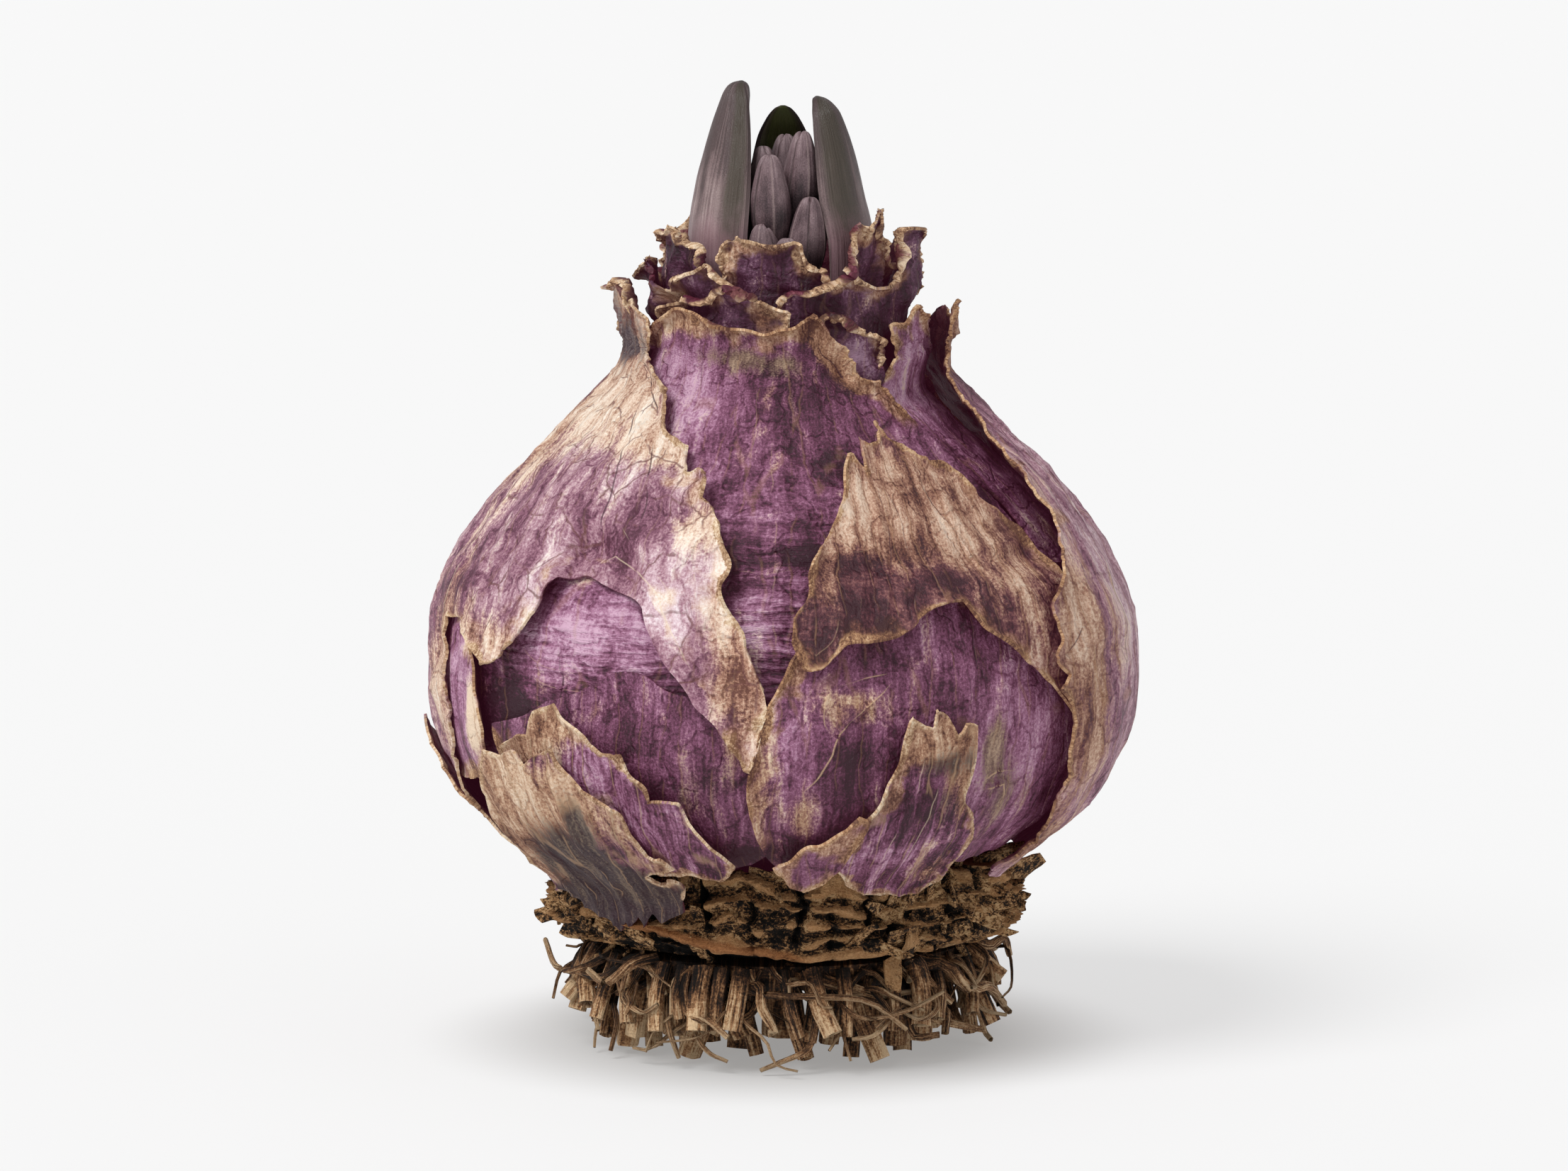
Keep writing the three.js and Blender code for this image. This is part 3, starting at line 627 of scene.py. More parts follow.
def hand_in(piece, node, material, crease=50):
    """Gives a piece its finish and lets it stand for its node."""
    select_only(piece)
    bpy.ops.object.shade_smooth_by_angle(angle=math.radians(crease))
    piece.data.materials.clear()
    piece.data.materials.append(material)
    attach(piece, "root")
    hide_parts(node)
    piece.data.calc_loop_triangles()
    print(node, "triangles:", len(piece.data.loop_triangles))


print("helpers ready, margin to the box in mm:", BOX_MARGIN)

# %% [markdown]
# The colours of the skins come first, each as the stops of a ramp from dark to pale: a skin has a
# damp colour, a dry one and that of its torn rim. Some have stains too.

# %% Colours of the skins
PURPLE_WET = shades((34, 10, 22), (80, 38, 60), (124, 74, 102), (168, 120, 148), (204, 166, 188))
# The neck's damp purple is darker than the shoulder's: partly its own colour, partly painted shade
# between the crowded collars
NECK_WET_AND_SHADE = shades((14, 4, 10), (44, 18, 34), (76, 42, 64), (112, 76, 100), (160, 128, 148))
LILAC_WET = shades((78, 40, 56), (128, 82, 102), (174, 134, 146), (212, 184, 192), (238, 224, 228))
BROWN_WET = shades((44, 18, 24), (82, 44, 50), (124, 80, 78), (166, 124, 112), (206, 176, 162))
TAN_DRY = shades((54, 32, 24), (112, 76, 54), (166, 126, 98), (208, 176, 146), (236, 214, 188))
CREAM_DRY = shades((96, 60, 46), (164, 122, 100), (212, 180, 156), (236, 216, 196), (248, 238, 224))
BROWN_DRY = shades((54, 32, 28), (106, 68, 54), (156, 116, 94), (196, 162, 138), (224, 200, 178))
CREAM_RIM = shades((118, 84, 56), (190, 156, 120), (232, 212, 182))
TAN_RIM = shades((92, 60, 42), (164, 124, 88), (212, 180, 142))
NECK_RIM = shades((88, 62, 44), (160, 126, 94), (204, 172, 136), (236, 214, 184))
GREY_STAIN = shades((44, 38, 42), (80, 74, 78), (124, 114, 112))
SLATE_STAIN = shades((15, 15, 16), (34, 34, 34), (62, 60, 56), (112, 100, 84))
DULL_STAIN = shades((70, 52, 44), (120, 98, 80), (172, 148, 122))
NET_BROWN = shade(104, 64, 60)
DARK_LINE = shade(58, 34, 42)
# The inner face of a skin is damp and dark red. Its darker stops are also painted shade, for the
# gaps under lifted edges where the inner face shows
INNER_FACE_AND_GAP_SHADE = shades((30, 4, 10), (62, 14, 26), (94, 32, 46), (128, 62, 70))
# A faint painted glow stands in for light that has come through the skins and gives their shadows a
# red tinge
PAINTED_RED_GLOW = shade(44, 12, 24)
print("stops of the purple:", len(PURPLE_WET))

# %% [markdown]
# The finish of a papery skin has many layers. Long fibres and broad streaks run up to the neck.
# Short wrinkles cross them, and a fine grain of cells covers all. Dried parts turn tan in
# streaks. The torn edge shows a thin pale line, and behind it a tan band that fades away.
# All of it reads the skin's own flat coordinates, so the fibres follow the skin round the bulb.
# The colour follows the relief too: wrinkle crests are painted paler, and creases and the sides of
# veins painted darker, as painted light and shade.

# %% Papery finish
SKIN_ROUGHNESS = 0.52
SKIN_RELIEF = 0.26
SKIN_GLOSS = 0.35
PAINTED_GLOW_STRENGTH = 0.6


def paper_finish(name, wet, dry, rim, fibre=0.6, across=0.15, blotch=1.0, band=1.4, net=0.0,
                 veins=0.4, rim_width=0.4, stain=GREY_STAIN, spots=(0.3, 0.24)):
    """wet, dry, rim and stain are ramps. band and rim_width are mm from the torn edge, spots says
    how closely the blotches stand round and along, and the others are strengths."""
    finish = Finish(name)
    flow = finish.attribute("flow", "Vector")
    bent = finish.warped(flow, 3.5, 0.5)
    fibres = finish.bumps(bent, (3.2, 0.25))
    streaks = finish.bumps(bent, (0.7, 0.1))
    mottle = finish.bumps(flow, spots, 5, 0.65, 0.5)
    patches = finish.bumps(flow, (0.4, 0.4), 2, 0.5)
    grain = finish.bumps(flow, (5, 4.2), 3, 0.75)
    # Wrinkles, creases and the sides of veins shape the relief and also shade the colour: painted
    # highlights on the crests, painted shade in the hollows
    wrinkles = finish.bumps(bent, (0.4, 1.7), 4) * (finish.attribute("cross") + across)
    groove = finish.smooth(finish.bumps(bent, (0.34, 0.26), 3, 0.5).size(), 0.045, 0)
    walls = finish.cell_walls(finish.warped(bent, 0.8, 0.22).stretched(0.46, 0.27))
    netted = finish.smooth(walls, 0.045, 0.008) * finish.smooth(patches + mottle, -0.14, 0.14)
    lanes = finish.cell_walls(bent.stretched(0.55, 0.055))
    vein = finish.smooth(lanes, 0.05, 0.01) * finish.smooth(streaks + patches, -0.16, 0.06)
    dip_and_painted_shadow_beside_vein = finish.smooth(lanes, 0.16, 0.05)
    own_tone = finish.attribute("tone")
    tone = (own_tone + 0.45 + fibres * (0.9 * fibre) + streaks * 0.75 + mottle * (1.5 * blotch)
            + grain * 1.0 + wrinkles * 1.1 - groove * 0.18 - dip_and_painted_shadow_beside_vein * (0.12 * veins))
    dry_tone = (own_tone + 0.5 + fibres * 0.6 + streaks * 0.9 + grain * 1.1 + mottle * 1.2
                - groove * 0.16 - dip_and_painted_shadow_beside_vein * (0.2 * veins))
    edge = finish.attribute("edge")
    near_edge = finish.smooth(edge + patches * 5 + streaks * 1.5 + grain * 0.8, band, 0.1 * band)
    dryness = finish.attribute("dry") + streaks * 1.2 + mottle * 1.5 + grain * 0.7
    dried = finish.smooth(dryness, 0.2, 0.8).larger(near_edge * 0.9)
    colour = finish.mix(finish.ramp(tone, wet), finish.ramp(dry_tone, dry), dried)
    stained = finish.smooth(finish.attribute("stain") + streaks * 1.8 + grain * 0.9, 0.3, 1)
    stain_colour = finish.ramp(0.5 + grain * 1.6 + fibres * 1.0 + streaks * 1.8, stain)
    colour = finish.mix(colour, stain_colour, stained * 0.95)
    (_, rim_middle), (_, rim_pale) = rim[1:3]
    colour = finish.mix(colour, rim_middle, vein * (0.55 * veins))
    colour = finish.mix(colour, NET_BROWN, netted * net)
    ink = finish.attribute("ink")
    colour = finish.mix(colour, DARK_LINE, finish.smooth(ink, 0.25, 0.75) * 0.8)
    colour = finish.mix(colour, rim_pale, finish.smooth(0 - ink, 0.25, 0.75) * 0.6)
    # Inner faces: their own dark red, darkened as painted shade in the gaps under lifted edges
    colour = finish.mix(colour, finish.ramp(tone, INNER_FACE_AND_GAP_SHADE), finish.attribute("inside") * 0.85)
    ragged_edge = edge + (patches + mottle) * (4 * rim_width) + grain * 0.6
    pale_edge = finish.smooth(ragged_edge, rim_width, 0.35 * rim_width)
    rim_tone = 0.55 + grain * 2.2 + streaks * 1.6 + mottle * 2.2
    colour = finish.mix(colour, finish.ramp(rim_tone, rim), pale_edge)
    height = (0.5 + fibres * (0.4 * fibre) + wrinkles * 1.3 + grain * 0.5 + mottle * 0.5
              - groove * 0.35 - netted * (0.12 * net) + vein * (0.35 * veins)
              - dip_and_painted_shadow_beside_vein * (0.2 * veins))
    # The emission is a painted red glow, which lifts the skins' shadows
    return finish.surface(colour, SKIN_ROUGHNESS + dried * 0.2 + grain * 0.3, height, SKIN_RELIEF,
                          Specular_IOR_Level=SKIN_GLOSS, Emission_Color=PAINTED_RED_GLOW,
                          Emission_Strength=PAINTED_GLOW_STRENGTH)


purple_paper = paper_finish("purple_paper", PURPLE_WET, TAN_DRY, TAN_RIM, blotch=0.7,
                            stain=DULL_STAIN)
neck_paper = paper_finish("neck_paper", NECK_WET_AND_SHADE, TAN_DRY, NECK_RIM, band=1.3, veins=0.3,
                          rim_width=0.6)
left_paper = paper_finish("left_paper", LILAC_WET, CREAM_DRY, CREAM_RIM, band=1.8, net=0.75,
                          veins=0.3, fibre=0.35, spots=(0.34, 0.15))
right_paper = paper_finish("right_paper", LILAC_WET, BROWN_DRY, TAN_RIM, band=1.6, net=0.3,
                           veins=0.7, blotch=0.9, spots=(0.4, 0.13))
brown_paper = paper_finish("brown_paper", BROWN_WET, BROWN_DRY, TAN_RIM, across=0.4, band=1.0,
                           veins=0.6, blotch=1.3)
flap_paper = paper_finish("flap_paper", PURPLE_WET, TAN_DRY, CREAM_RIM, band=0.6, veins=0.8,
                          fibre=1.1, blotch=1.2, rim_width=0.28, stain=SLATE_STAIN)
papers = (purple_paper, neck_paper, left_paper, right_paper, brown_paper, flap_paper)
print("papery finishes:", ", ".join(paper.name for paper in papers))

# %% [markdown]
# A sheet of skin is shaped on its flat pattern: broad swells, creases, ribs, wrinkles across and
# the tight puckers of the neck are added up as a height for each point. Near the torn edge the
# sheet rolls outwards, and the veins and folds that were drawn raise or sink it.

# %% Shape of a sheet
PLAIN_SHAPE = {"swell": 0.25, "crumple": 0.12, "ribs": 0.05, "rib_width": 1.5, "across": 0.03,
               "roll": 35, "reach": 0.8, "pucker": 0.0, "pucker_from": 50, "lumps": 0.0}
# A line's height and ink each have a row of points on both sides, this far off in mm
LINE_SIDE = 0.13
# Degrees that an edge may roll
LEAST_ROLL, MOST_ROLL = 2, 330
# Within this many mm of the box, points are pressed back softly
BOX_ROOM = 0.5


def pairs(numbers):
    """Rows of azimuth and height from a list that holds them in turn."""
    return np.array(numbers, float).reshape(-1, 2)


def marks(points, radius, places):
    """Soft spots: each is [azimuth, height, mm wide, mm high, amount]."""
    total = np.zeros(len(points))
    for azimuth, height, wide, tall, amount in places:
        away = (points - flattened(azimuth, height, radius)) / (wide, tall)
        total += amount * np.exp(-(away ** 2).sum(1))
    return total


def sheet_relief(flat, height, shape, seed):
    u, v = flat.T
    swell = shape["swell"] * fractal(u / 9, v / 12, seed, 2)
    creases = shape["crumple"] * (0.8 - 3 * np.abs(fractal(u / 3.4, v / 4.6, seed + 10)))
    lanes = u / shape["rib_width"] + 0.5 * fractal(u / 9, v / 15, seed + 20)
    ribs = shape["ribs"] * (1 - 2 * np.abs(np.sin(math.pi * lanes)) ** 0.6)
    wrinkles = shape["across"] * fractal(u / 4.5, v / 0.8, seed + 30)
    low = shape["pucker_from"]
    puckers = shape["pucker"] * ramp(height, low, low + 8) * fractal(u / 0.9, v / 7, seed + 40)
    return swell + creases + ribs + wrinkles + puckers


def outward_normals(ring):
    """The outward direction at each point of a smooth closed line, evened out over about 1 mm."""
    along_ring = np.roll(ring, -4, 0) - np.roll(ring, 4, 0)
    sideways = np.stack([along_ring[:, 1], -along_ring[:, 0]], 1)
    x, y = ring.T
    area = (x * np.roll(y, -1) - np.roll(x, -1) * y).sum()
    return np.sign(area) * sideways / np.hypot(*sideways.T)[:, None]


def rolled(flat, smooth_ring, angle, reach):
    """Rolls the sheet outwards near its edge: the moved flat points and how far they stand off."""
    away, index = nearest(flat, smooth_ring)
    away = np.where(inside(flat, smooth_ring), away, -away)
    angle = np.radians(np.clip(angle, LEAST_ROLL, MOST_ROLL))
    left = np.clip(reach - away, 0, 1.6 * reach)
    bend = reach / angle
    turned = left / bend
    short = left - bend * np.sin(turned)
    return flat - outward_normals(smooth_ring)[index] * short[:, None], bend * (1 - np.cos(turned))


def drawn_lines(lines, radius, seed):
    """Points along every drawn line, with each one's height in mm and its ink, then the points
    of a row on each side of it, which keep the line narrow."""
    points, heights, inks, sides = [np.zeros((0, 2))], [np.zeros(0)], [np.zeros(0)], []
    for k, (corners, height, ink) in enumerate(lines):
        line = curve_through(flattened(*pairs(corners).T, radius), False)
        way = np.linspace(0, len(line) * EDGE_STEP, len(line))
        line[:, 0] += 0.22 * fractal(way / 2.2, 0 * way + k, seed + 60)
        strength = np.clip(0.9 + 0.7 * noise(way / 1.8, 0 * way + k, seed + 70), 0, 1)
        strength = strength * np.minimum(1, 5 * np.minimum(way, way[-1] - way) / way[-1] + 0.1)
        ahead = np.gradient(line, axis=0)
        sideways = np.stack([ahead[:, 1], -ahead[:, 0]], 1) / np.hypot(*ahead.T)[:, None]
        points.append(line)
        heights.append(height * strength)
        inks.append(ink * strength)
        sides += [line + LINE_SIDE * sideways, line - LINE_SIDE * sideways]
    return np.concatenate(points), np.concatenate(heights), np.concatenate(inks), sides


def eased_into_box(points):
    """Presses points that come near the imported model's own limits softly back inside them."""
    middle = (box_low + box_high) / 2
    half = (box_high - box_low) / 2 - 2 * BOX_MARGIN
    away = np.abs(points - middle)
    over = np.maximum(away - (half - BOX_ROOM), 0)
    pressed = np.where(over > 0, half - BOX_ROOM * np.exp(-over / BOX_ROOM), away)
    return middle + np.sign(points - middle) * pressed


print("forms of a plain sheet:", ", ".join(PLAIN_SHAPE))

# %% [markdown]
# One maker makes every skin. It lays the pattern out flat, works out how far each point lies from
# the torn edge and from the drawn lines, shapes the sheet, wraps it round the bulb at its own
# layer, and gives it a wall.

# %% Skin maker
# All in mm: the wall of a sheet, and the least it stands off the wrap surface
SHEET = 0.24
LEAST_OFFSET = 0.3
# An edge that isn't free counts as this far away, so it neither dries nor shows a rim
HIDDEN_EDGE = 9.0
RIM_WIDTH = 0.4
WRINKLE_HEIGHT = 0.22
# Lumps stand this near the edge, and lines slope and are inked this wide
LUMP_REACH = 1.1
LINE_SLOPE = 0.4
INK_WIDTH = 0.08


def everywhere(azimuth, height):
    return np.ones_like(azimuth)


def make_skin(node, outline, lift, material, shape=None, lines=(), cell=0.4, ragged=0.22,
              tone=(), dry=(), stain=(), cross=(), lifts=(), rolls=(), rim_wide=(),
              free=everywhere, seed=1):
    """outline is azimuths and heights in turn. lift is the skin's layer: a number, or one that
    varies with azimuth and height. lines are (corners, height in mm, ink): ink above 0 is a dark
    vein, below 0 a pale fold. free says where the edge is free, to roll and dry. In places, rolls
    add degrees to its roll and rim_wide adds mm to its pale rim. The other places are soft spots
    of tone, dryness, stain and so on."""
    shape = {**PLAIN_SHAPE, **(shape or {})}
    base = seed * 100
    corners = pairs(outline)
    radius = along(WRAP_PROFILE, corners[:, 1]).mean()
    smooth_ring = curve_through(flattened(*corners.T, radius), True)
    ring = torn(smooth_ring, ragged, seed)
    on_lines, line_heights, line_inks, beside = drawn_lines(lines, radius, base)
    flat, faces = flat_mesh(ring, np.concatenate([on_lines, *beside]), cell)
    u, v = flat.T
    azimuth, height = unflattened(flat, radius)
    edge = nearest(flat, ring)[0]
    loose = free(azimuth, height)

    def spots(places):
        return marks(flat, radius, places)

    crossing = spots(cross)
    lumpy = bell(edge, LUMP_REACH) * loose
    relief = sheet_relief(flat, height, shape, base) + spots(lifts)
    relief += WRINKLE_HEIGHT * crossing * fractal(u / 5, v / 1.1, base + 80)
    relief += shape["lumps"] * lumpy * fractal(u / 0.7, v / 0.6, base + 90)
    ink = 0 * edge
    if len(on_lines):
        away, index = nearest(flat, on_lines)
        relief += line_heights[index] * np.exp(-away / LINE_SLOPE)
        ink = line_inks[index] * bell(away, INK_WIDTH)
    wave = 1 + 0.8 * noise(u / 3, v / 3, base + 50)
    angle = (shape["roll"] * wave + spots(rolls)) * loose
    moved, stand_off = rolled(flat, smooth_ring, angle, shape["reach"])
    layer = lift(azimuth, height) if callable(lift) else lift
    offset = SKIN_GAP + (layer - 1) * LAYER + SKIN_BAND + relief
    points = wrap(*unflattened(moved, radius), np.maximum(offset, LEAST_OFFSET) + stand_off)
    piece = new_piece(node + "_fine", eased_into_box(points), faces)
    rim = edge / (1 + spots(rim_wide) / RIM_WIDTH)
    add_values(piece, flow=flow_map(u, v), edge=rim + HIDDEN_EDGE * (1 - loose), ink=ink,
               tone=spots(tone), dry=spots(dry), stain=spots(stain), cross=crossing)
    give_wall(piece, SHEET)
    outer = np.arange(len(piece.data.vertices)) < len(flat)
    add_values(piece, inside=np.where(outer, 0.0, 1.0))
    keep_in_box(piece)
    hand_in(piece, node, material)


def crowd(height):
    """The skins crowd on each other where the shoulder narrows to the neck."""
    return 3 * ramp(height, 42, 58)


print("wall of a sheet in mm:", SHEET)

# %% [markdown]
# The shoulder skin covers the whole front below the neck. Its top is a thick, crumpled tan rim
# with a dull brown stain under it, and at the right it ends in a long slanting tear. In the middle,
# where the outer skins part, it shows short wrinkles across and one long fold down. Two more skins
# carry on from it, one at the right and one round the back.

# %% Shoulder skins
make_skin(
    "shoulder_tunic",
    [-98, 30, -60, 26, -20, 28.2, 30, 28.6, 50, 31, 56, 40, 57, 46, 52, 48.6, 46, 51.2, 42, 52.8,
     38.4, 54.2, 35, 55, 30, 55.6, 28, 56.8, 26, 59, 22, 60.4, 18.4, 61.6, 15, 63.1, 11.4, 63.5,
     7, 62.7, 4, 62.2, -2, 62, -7, 61.7, -13, 61.8, -18, 61.9, -25, 62.2, -32, 62.6, -40, 62.9,
     -48, 63.4, -53, 62.9, -60, 61.8, -66, 60.4, -74, 57, -84, 48, -98, 44],
    lambda a, z: 1 + crowd(z), purple_paper, seed=1, cell=0.36, ragged=0.2,
    shape={"swell": 0.2, "crumple": 0.1, "across": 0.05, "pucker": 0.3, "roll": 105, "reach": 1.1,
           "lumps": 0.35},
    free=lambda a, z: ramp(z, 49, 52),
    # The first tone spot is a painted highlight on the upper left of the shoulder
    tone=[[-42, 55, 6, 7, 0.42], [-23, 53, 3, 4, 0.1], [-5, 54, 3, 4, -0.2], [16, 53, 5, 4, -0.12],
          [0, 50, 4, 4, -0.12], [10, 56, 4, 3, -0.2], [-12, 47, 3.5, 4, 0.2], [7, 47, 4, 4, 0.02],
          [-8, 43.5, 4, 1, -0.2], [8, 44, 4, 1.2, -0.2], [4, 35, 4, 4, -0.1],
          [-6, 38.5, 4, 4, 0.14], [5, 39.5, 3, 3, 0.15], [32, 53, 4, 3, 0.06],
          [-42, 35.5, 7, 3, 0.36], [-33, 38, 7, 3, 0.4], [-30, 50, 4, 4, 0.08],
          [-18, 41, 2, 8, -0.35], [0, 31, 9, 1.6, -0.45], [-62, 31, 6, 6, -0.5],
          [40, 40, 10, 9, -0.35]],
    dry=[[-6, 61.8, 10, 0.7, 0.6], [-44, 62.4, 5, 1.6, 0.9], [14, 61.6, 1.8, 1.6, 1.6],
         [20, 59.4, 1.6, 1.8, 1.6], [25, 57, 1.5, 1.8, 1.6], [30, 54.8, 1.6, 1, 1.4]],
    stain=[[-8, 57.6, 5, 2, 0.9], [-22, 59, 3, 1.6, 0.6]],
    cross=[[-2, 42, 8, 9, 1.1], [-42, 35, 9, 4, 0.9], [2, 36, 5, 4, 0.7]],
    rim_wide=[[-20, 62, 22, 3, 0.2], [12, 62.4, 5, 2, 0.3]],
    lines=[([-3, 53, -3, 50, -2, 46, -2, 42, -1.4, 38, -2, 33], 0.16, -0.5),
           ([-10, 42.8, -4, 42.6, 4, 42.9], 0.2, -0.5), ([-8, 39.6, 0, 40, 9, 40.6], 0.12, -0.5),
           ([-10, 43.9, 2, 44.1, 12, 43.8], -0.16, 0.5), ([4, 40, 3, 36, 1, 32], -0.1, 0.4),
           ([-6, 38, -6, 34, -4, 31], -0.1, 0.4), ([8, 41, 7, 37, 4, 33], -0.08, 0.4),
           ([-42, 38, -41, 34, -40, 31], -0.18, 0.8),
           ([-52, 36.5, -46, 34.8, -38, 34.4, -32, 35.6], 0.14, -0.5),
           ([-50, 34.4, -44, 33.2, -36, 33, -30, 34.4], 0.14, -0.5),
           ([13, 60.8, 16, 59.2, 20, 57.8, 25, 55.2], -0.3, 0.9),
           ([-36, 60, -33, 57, -31, 54], -0.2, 0.6), ([-18, 57, -17, 53, -15, 49], -0.2, 0.5),
           ([-10, 56, -9, 52, -8, 48], 0.16, -0.5), ([3, 57, 6, 52, 7, 48], -0.16, 0.6),
           ([10, 57, 17, 53, 24, 50], -0.16, 0.6), ([14, 58, 24, 54, 34, 51], -0.12, 0.6)],
)
make_skin(
    "right_shoulder_tunic",
    [62, 42, 90, 40, 118, 42, 122, 52, 112, 58.6, 100, 61, 88, 61.4, 77, 61.8, 71, 62.6, 67, 63,
     63, 62.6, 58, 61.6, 52, 61.6, 47.4, 61.6, 49, 60.2, 51.6, 58.6, 49, 56.6, 44, 55, 36, 53.4,
     33, 52.2, 44, 50.8, 60, 48],
    lambda a, z: 1 + crowd(z) * (0.36 + 0.7 * ramp(z, 54, 57.6)), purple_paper,
    seed=2, cell=0.3,
    shape={"crumple": 0.1, "pucker": 0.3, "roll": 25, "reach": 0.5, "lumps": 0.25},
    free=lambda a, z: ramp(z, 54, 56),
    tone=[[60, 59, 5, 3, 0.35], [62, 54, 6, 4, 0.15], [50, 54, 4, 3, 0.3]],
    rolls=[[66, 63, 4, 1.4, 90]],
    rim_wide=[[56, 61, 6, 2, 0.2]],
    lines=[([56, 60, 60, 55, 62, 49], -0.2, 0.6), ([66, 60, 70, 54, 72, 48], -0.2, 0.6)],
)
make_skin(
    "back_tunic",
    [118, 18, 150, 17.2, 180, 17.4, 215, 17, 246, 18.2, 250, 30, 246, 40, 244, 48, 244, 56,
     242, 60.4, 228, 60.8, 214, 61.4, 200, 60.4, 188, 62.2, 172, 60.6, 160, 61.8, 146, 60.4,
     134, 60.4, 122, 59.4, 121, 56, 123, 50, 122, 46, 120, 38, 114, 28],
    lambda a, z: 1.2 + 0.9 * crowd(z), purple_paper, seed=3, cell=0.5, ragged=0.3,
    shape={"swell": 0.3, "crumple": 0.12, "ribs": 0.08, "pucker": 0.2, "roll": 60},
    tone=[[140, 48, 10, 8, 0.2], [200, 46, 10, 9, 0.2], [180, 30, 12, 8, -0.1],
          [225, 40, 8, 8, 0.1]],
    dry=[[180, 60, 20, 3, 0.9], [210, 22, 12, 5, 0.5]],
    stain=[[160, 56, 6, 3, 0.6]],
    lines=[([150, 58, 152, 44, 156, 30, 160, 19], 0.12, 0.7),
           ([172, 60, 174, 46, 175, 32, 172, 19], 0.12, 0.7),
           ([196, 60, 200, 44, 202, 30, 200, 19], 0.12, 0.7),
           ([222, 58, 226, 44, 228, 30, 224, 19], 0.12, 0.7)],
)

# %% [markdown]
# Two lower skins meet in a tan seam under the dark middle. They are smoother than the outer ones,
# plum coloured, with faint veins that run down to the plate.

# %% Lower front skins
make_skin(
    "front_left_tunic",
    [-57, 29.6, -49, 30.6, -43.5, 32, -36, 33.2, -31.5, 34.2, -28, 34.8, -24, 34.6, -20, 33.6,
     -14, 33, -3.6, 32, -2, 30, -1.6, 24, -2.4, 21.4, -9, 19.8, -21, 19.6, -36, 20, -54, 21],
    lambda a, z: 2 - 0.75 * ramp(z, 28, 33), purple_paper, seed=4, ragged=0.12,
    shape={"swell": 0.25, "crumple": 0.08, "ribs": 0.05, "rib_width": 2.6, "roll": 20},
    free=lambda a, z: ramp(z, 21.5, 23) * (1 - ramp(z, 29, 31)),
    # The spot low in the middle, at -8 degrees, paints shade where the skin's foot curves under
    tone=[[-30, 30, 5, 3, -0.12], [-12, 26, 5, 4, -0.05], [-8, 21, 6, 1.6, -0.5],
          [-25, 24, 6, 3, -0.3]],
    dry=[[-7, 30, 2, 3, 0.45]],
    stain=[[-12, 27, 4, 4, 0.3]],
    lines=[([-20, 33.5, -15, 28, -12, 22], 0.08, -0.3), ([-30, 34, -27, 29, -22, 23], -0.08, 0.4),
           ([-12, 31.5, -8, 26, -6, 21], -0.06, 0.35)],
)
make_skin(
    "front_right_tunic",
    [0.6, 35.6, -0.8, 34.2, -2.6, 32.4, -3.6, 30.4, -5, 28.4, -5.6, 26.2, -4.6, 24.2, -2.6, 21.6,
     4, 20.2, 20, 19.6, 36, 19.4, 52, 20, 58, 24, 60, 32, 56, 38.4, 42, 40.4, 30, 41, 20, 40.4,
     8, 39.6, 3, 37.4],
    lambda a, z: 3.1 - ramp(a, 3, 16), purple_paper, seed=5, ragged=0.16,
    shape={"swell": 0.3, "crumple": 0.12, "ribs": 0.07, "rib_width": 2.4, "roll": 40},
    free=lambda a, z: ramp(z, 21.5, 23) * ramp(a, 50, 40),
    # The spot at 2 degrees low down paints shade where the foot curves under, and the one at 11
    # degrees paints the shadow below the long fold
    tone=[[0, 30, 3, 5, 0.22], [9, 27, 3, 4, -0.15], [2, 22, 6, 1.6, -0.5], [44, 31, 4, 5, 0.2],
          [39, 26, 5, 4, 0.25], [27, 33.5, 4, 2, -0.1], [11, 28, 3, 3, -0.15]],
    dry=[[-4, 28, 1.2, 5, 0.9], [2.6, 24.8, 1, 2, 0.6], [10, 32.6, 3.4, 1.6, 0.5]],
    stain=[[37, 28.5, 1.6, 3, 0.9], [41, 25, 2.2, 3, 0.9]],
    lines=[([20, 35, 15, 33.2, 9, 30.6, 8, 29.4, 6, 28.2, 3, 26.6, 2, 22.8], 0.3, -0.9),
           ([20, 35.2, 12, 34.6, 7.4, 33.8, 6, 32, 7, 31, 9, 30.6], 0.2, -0.7),
           ([-2, 31, -1, 27, -1, 23], 0.05, 0.5), ([3, 34, 1.4, 30, 0.6, 26], 0.08, -0.3),
           ([14, 33, 12, 29, 8, 25], -0.08, 0.4), ([38, 36, 39, 30, 37, 22], 0.1, -0.4),
           ([46, 36, 46, 29, 42, 22], -0.1, 0.5), ([31, 36, 32, 33, 31, 31], 0.1, 0.6),
           ([27, 37, 25, 34.6, 27, 32.4], -0.12, 0.6),
           ([34, 26, 38, 27, 42, 26.8, 44, 25], 0.35, -0.9),
           ([36, 25.6, 40, 26, 41.6, 24.4], 0.35, -0.9)],
)

# %% [markdown]
# The upper right skin has dried brown. Its top is broken off square, fine veins fan out from
# there, and its lower left ends in a rounded, folded lobe over the dark middle.

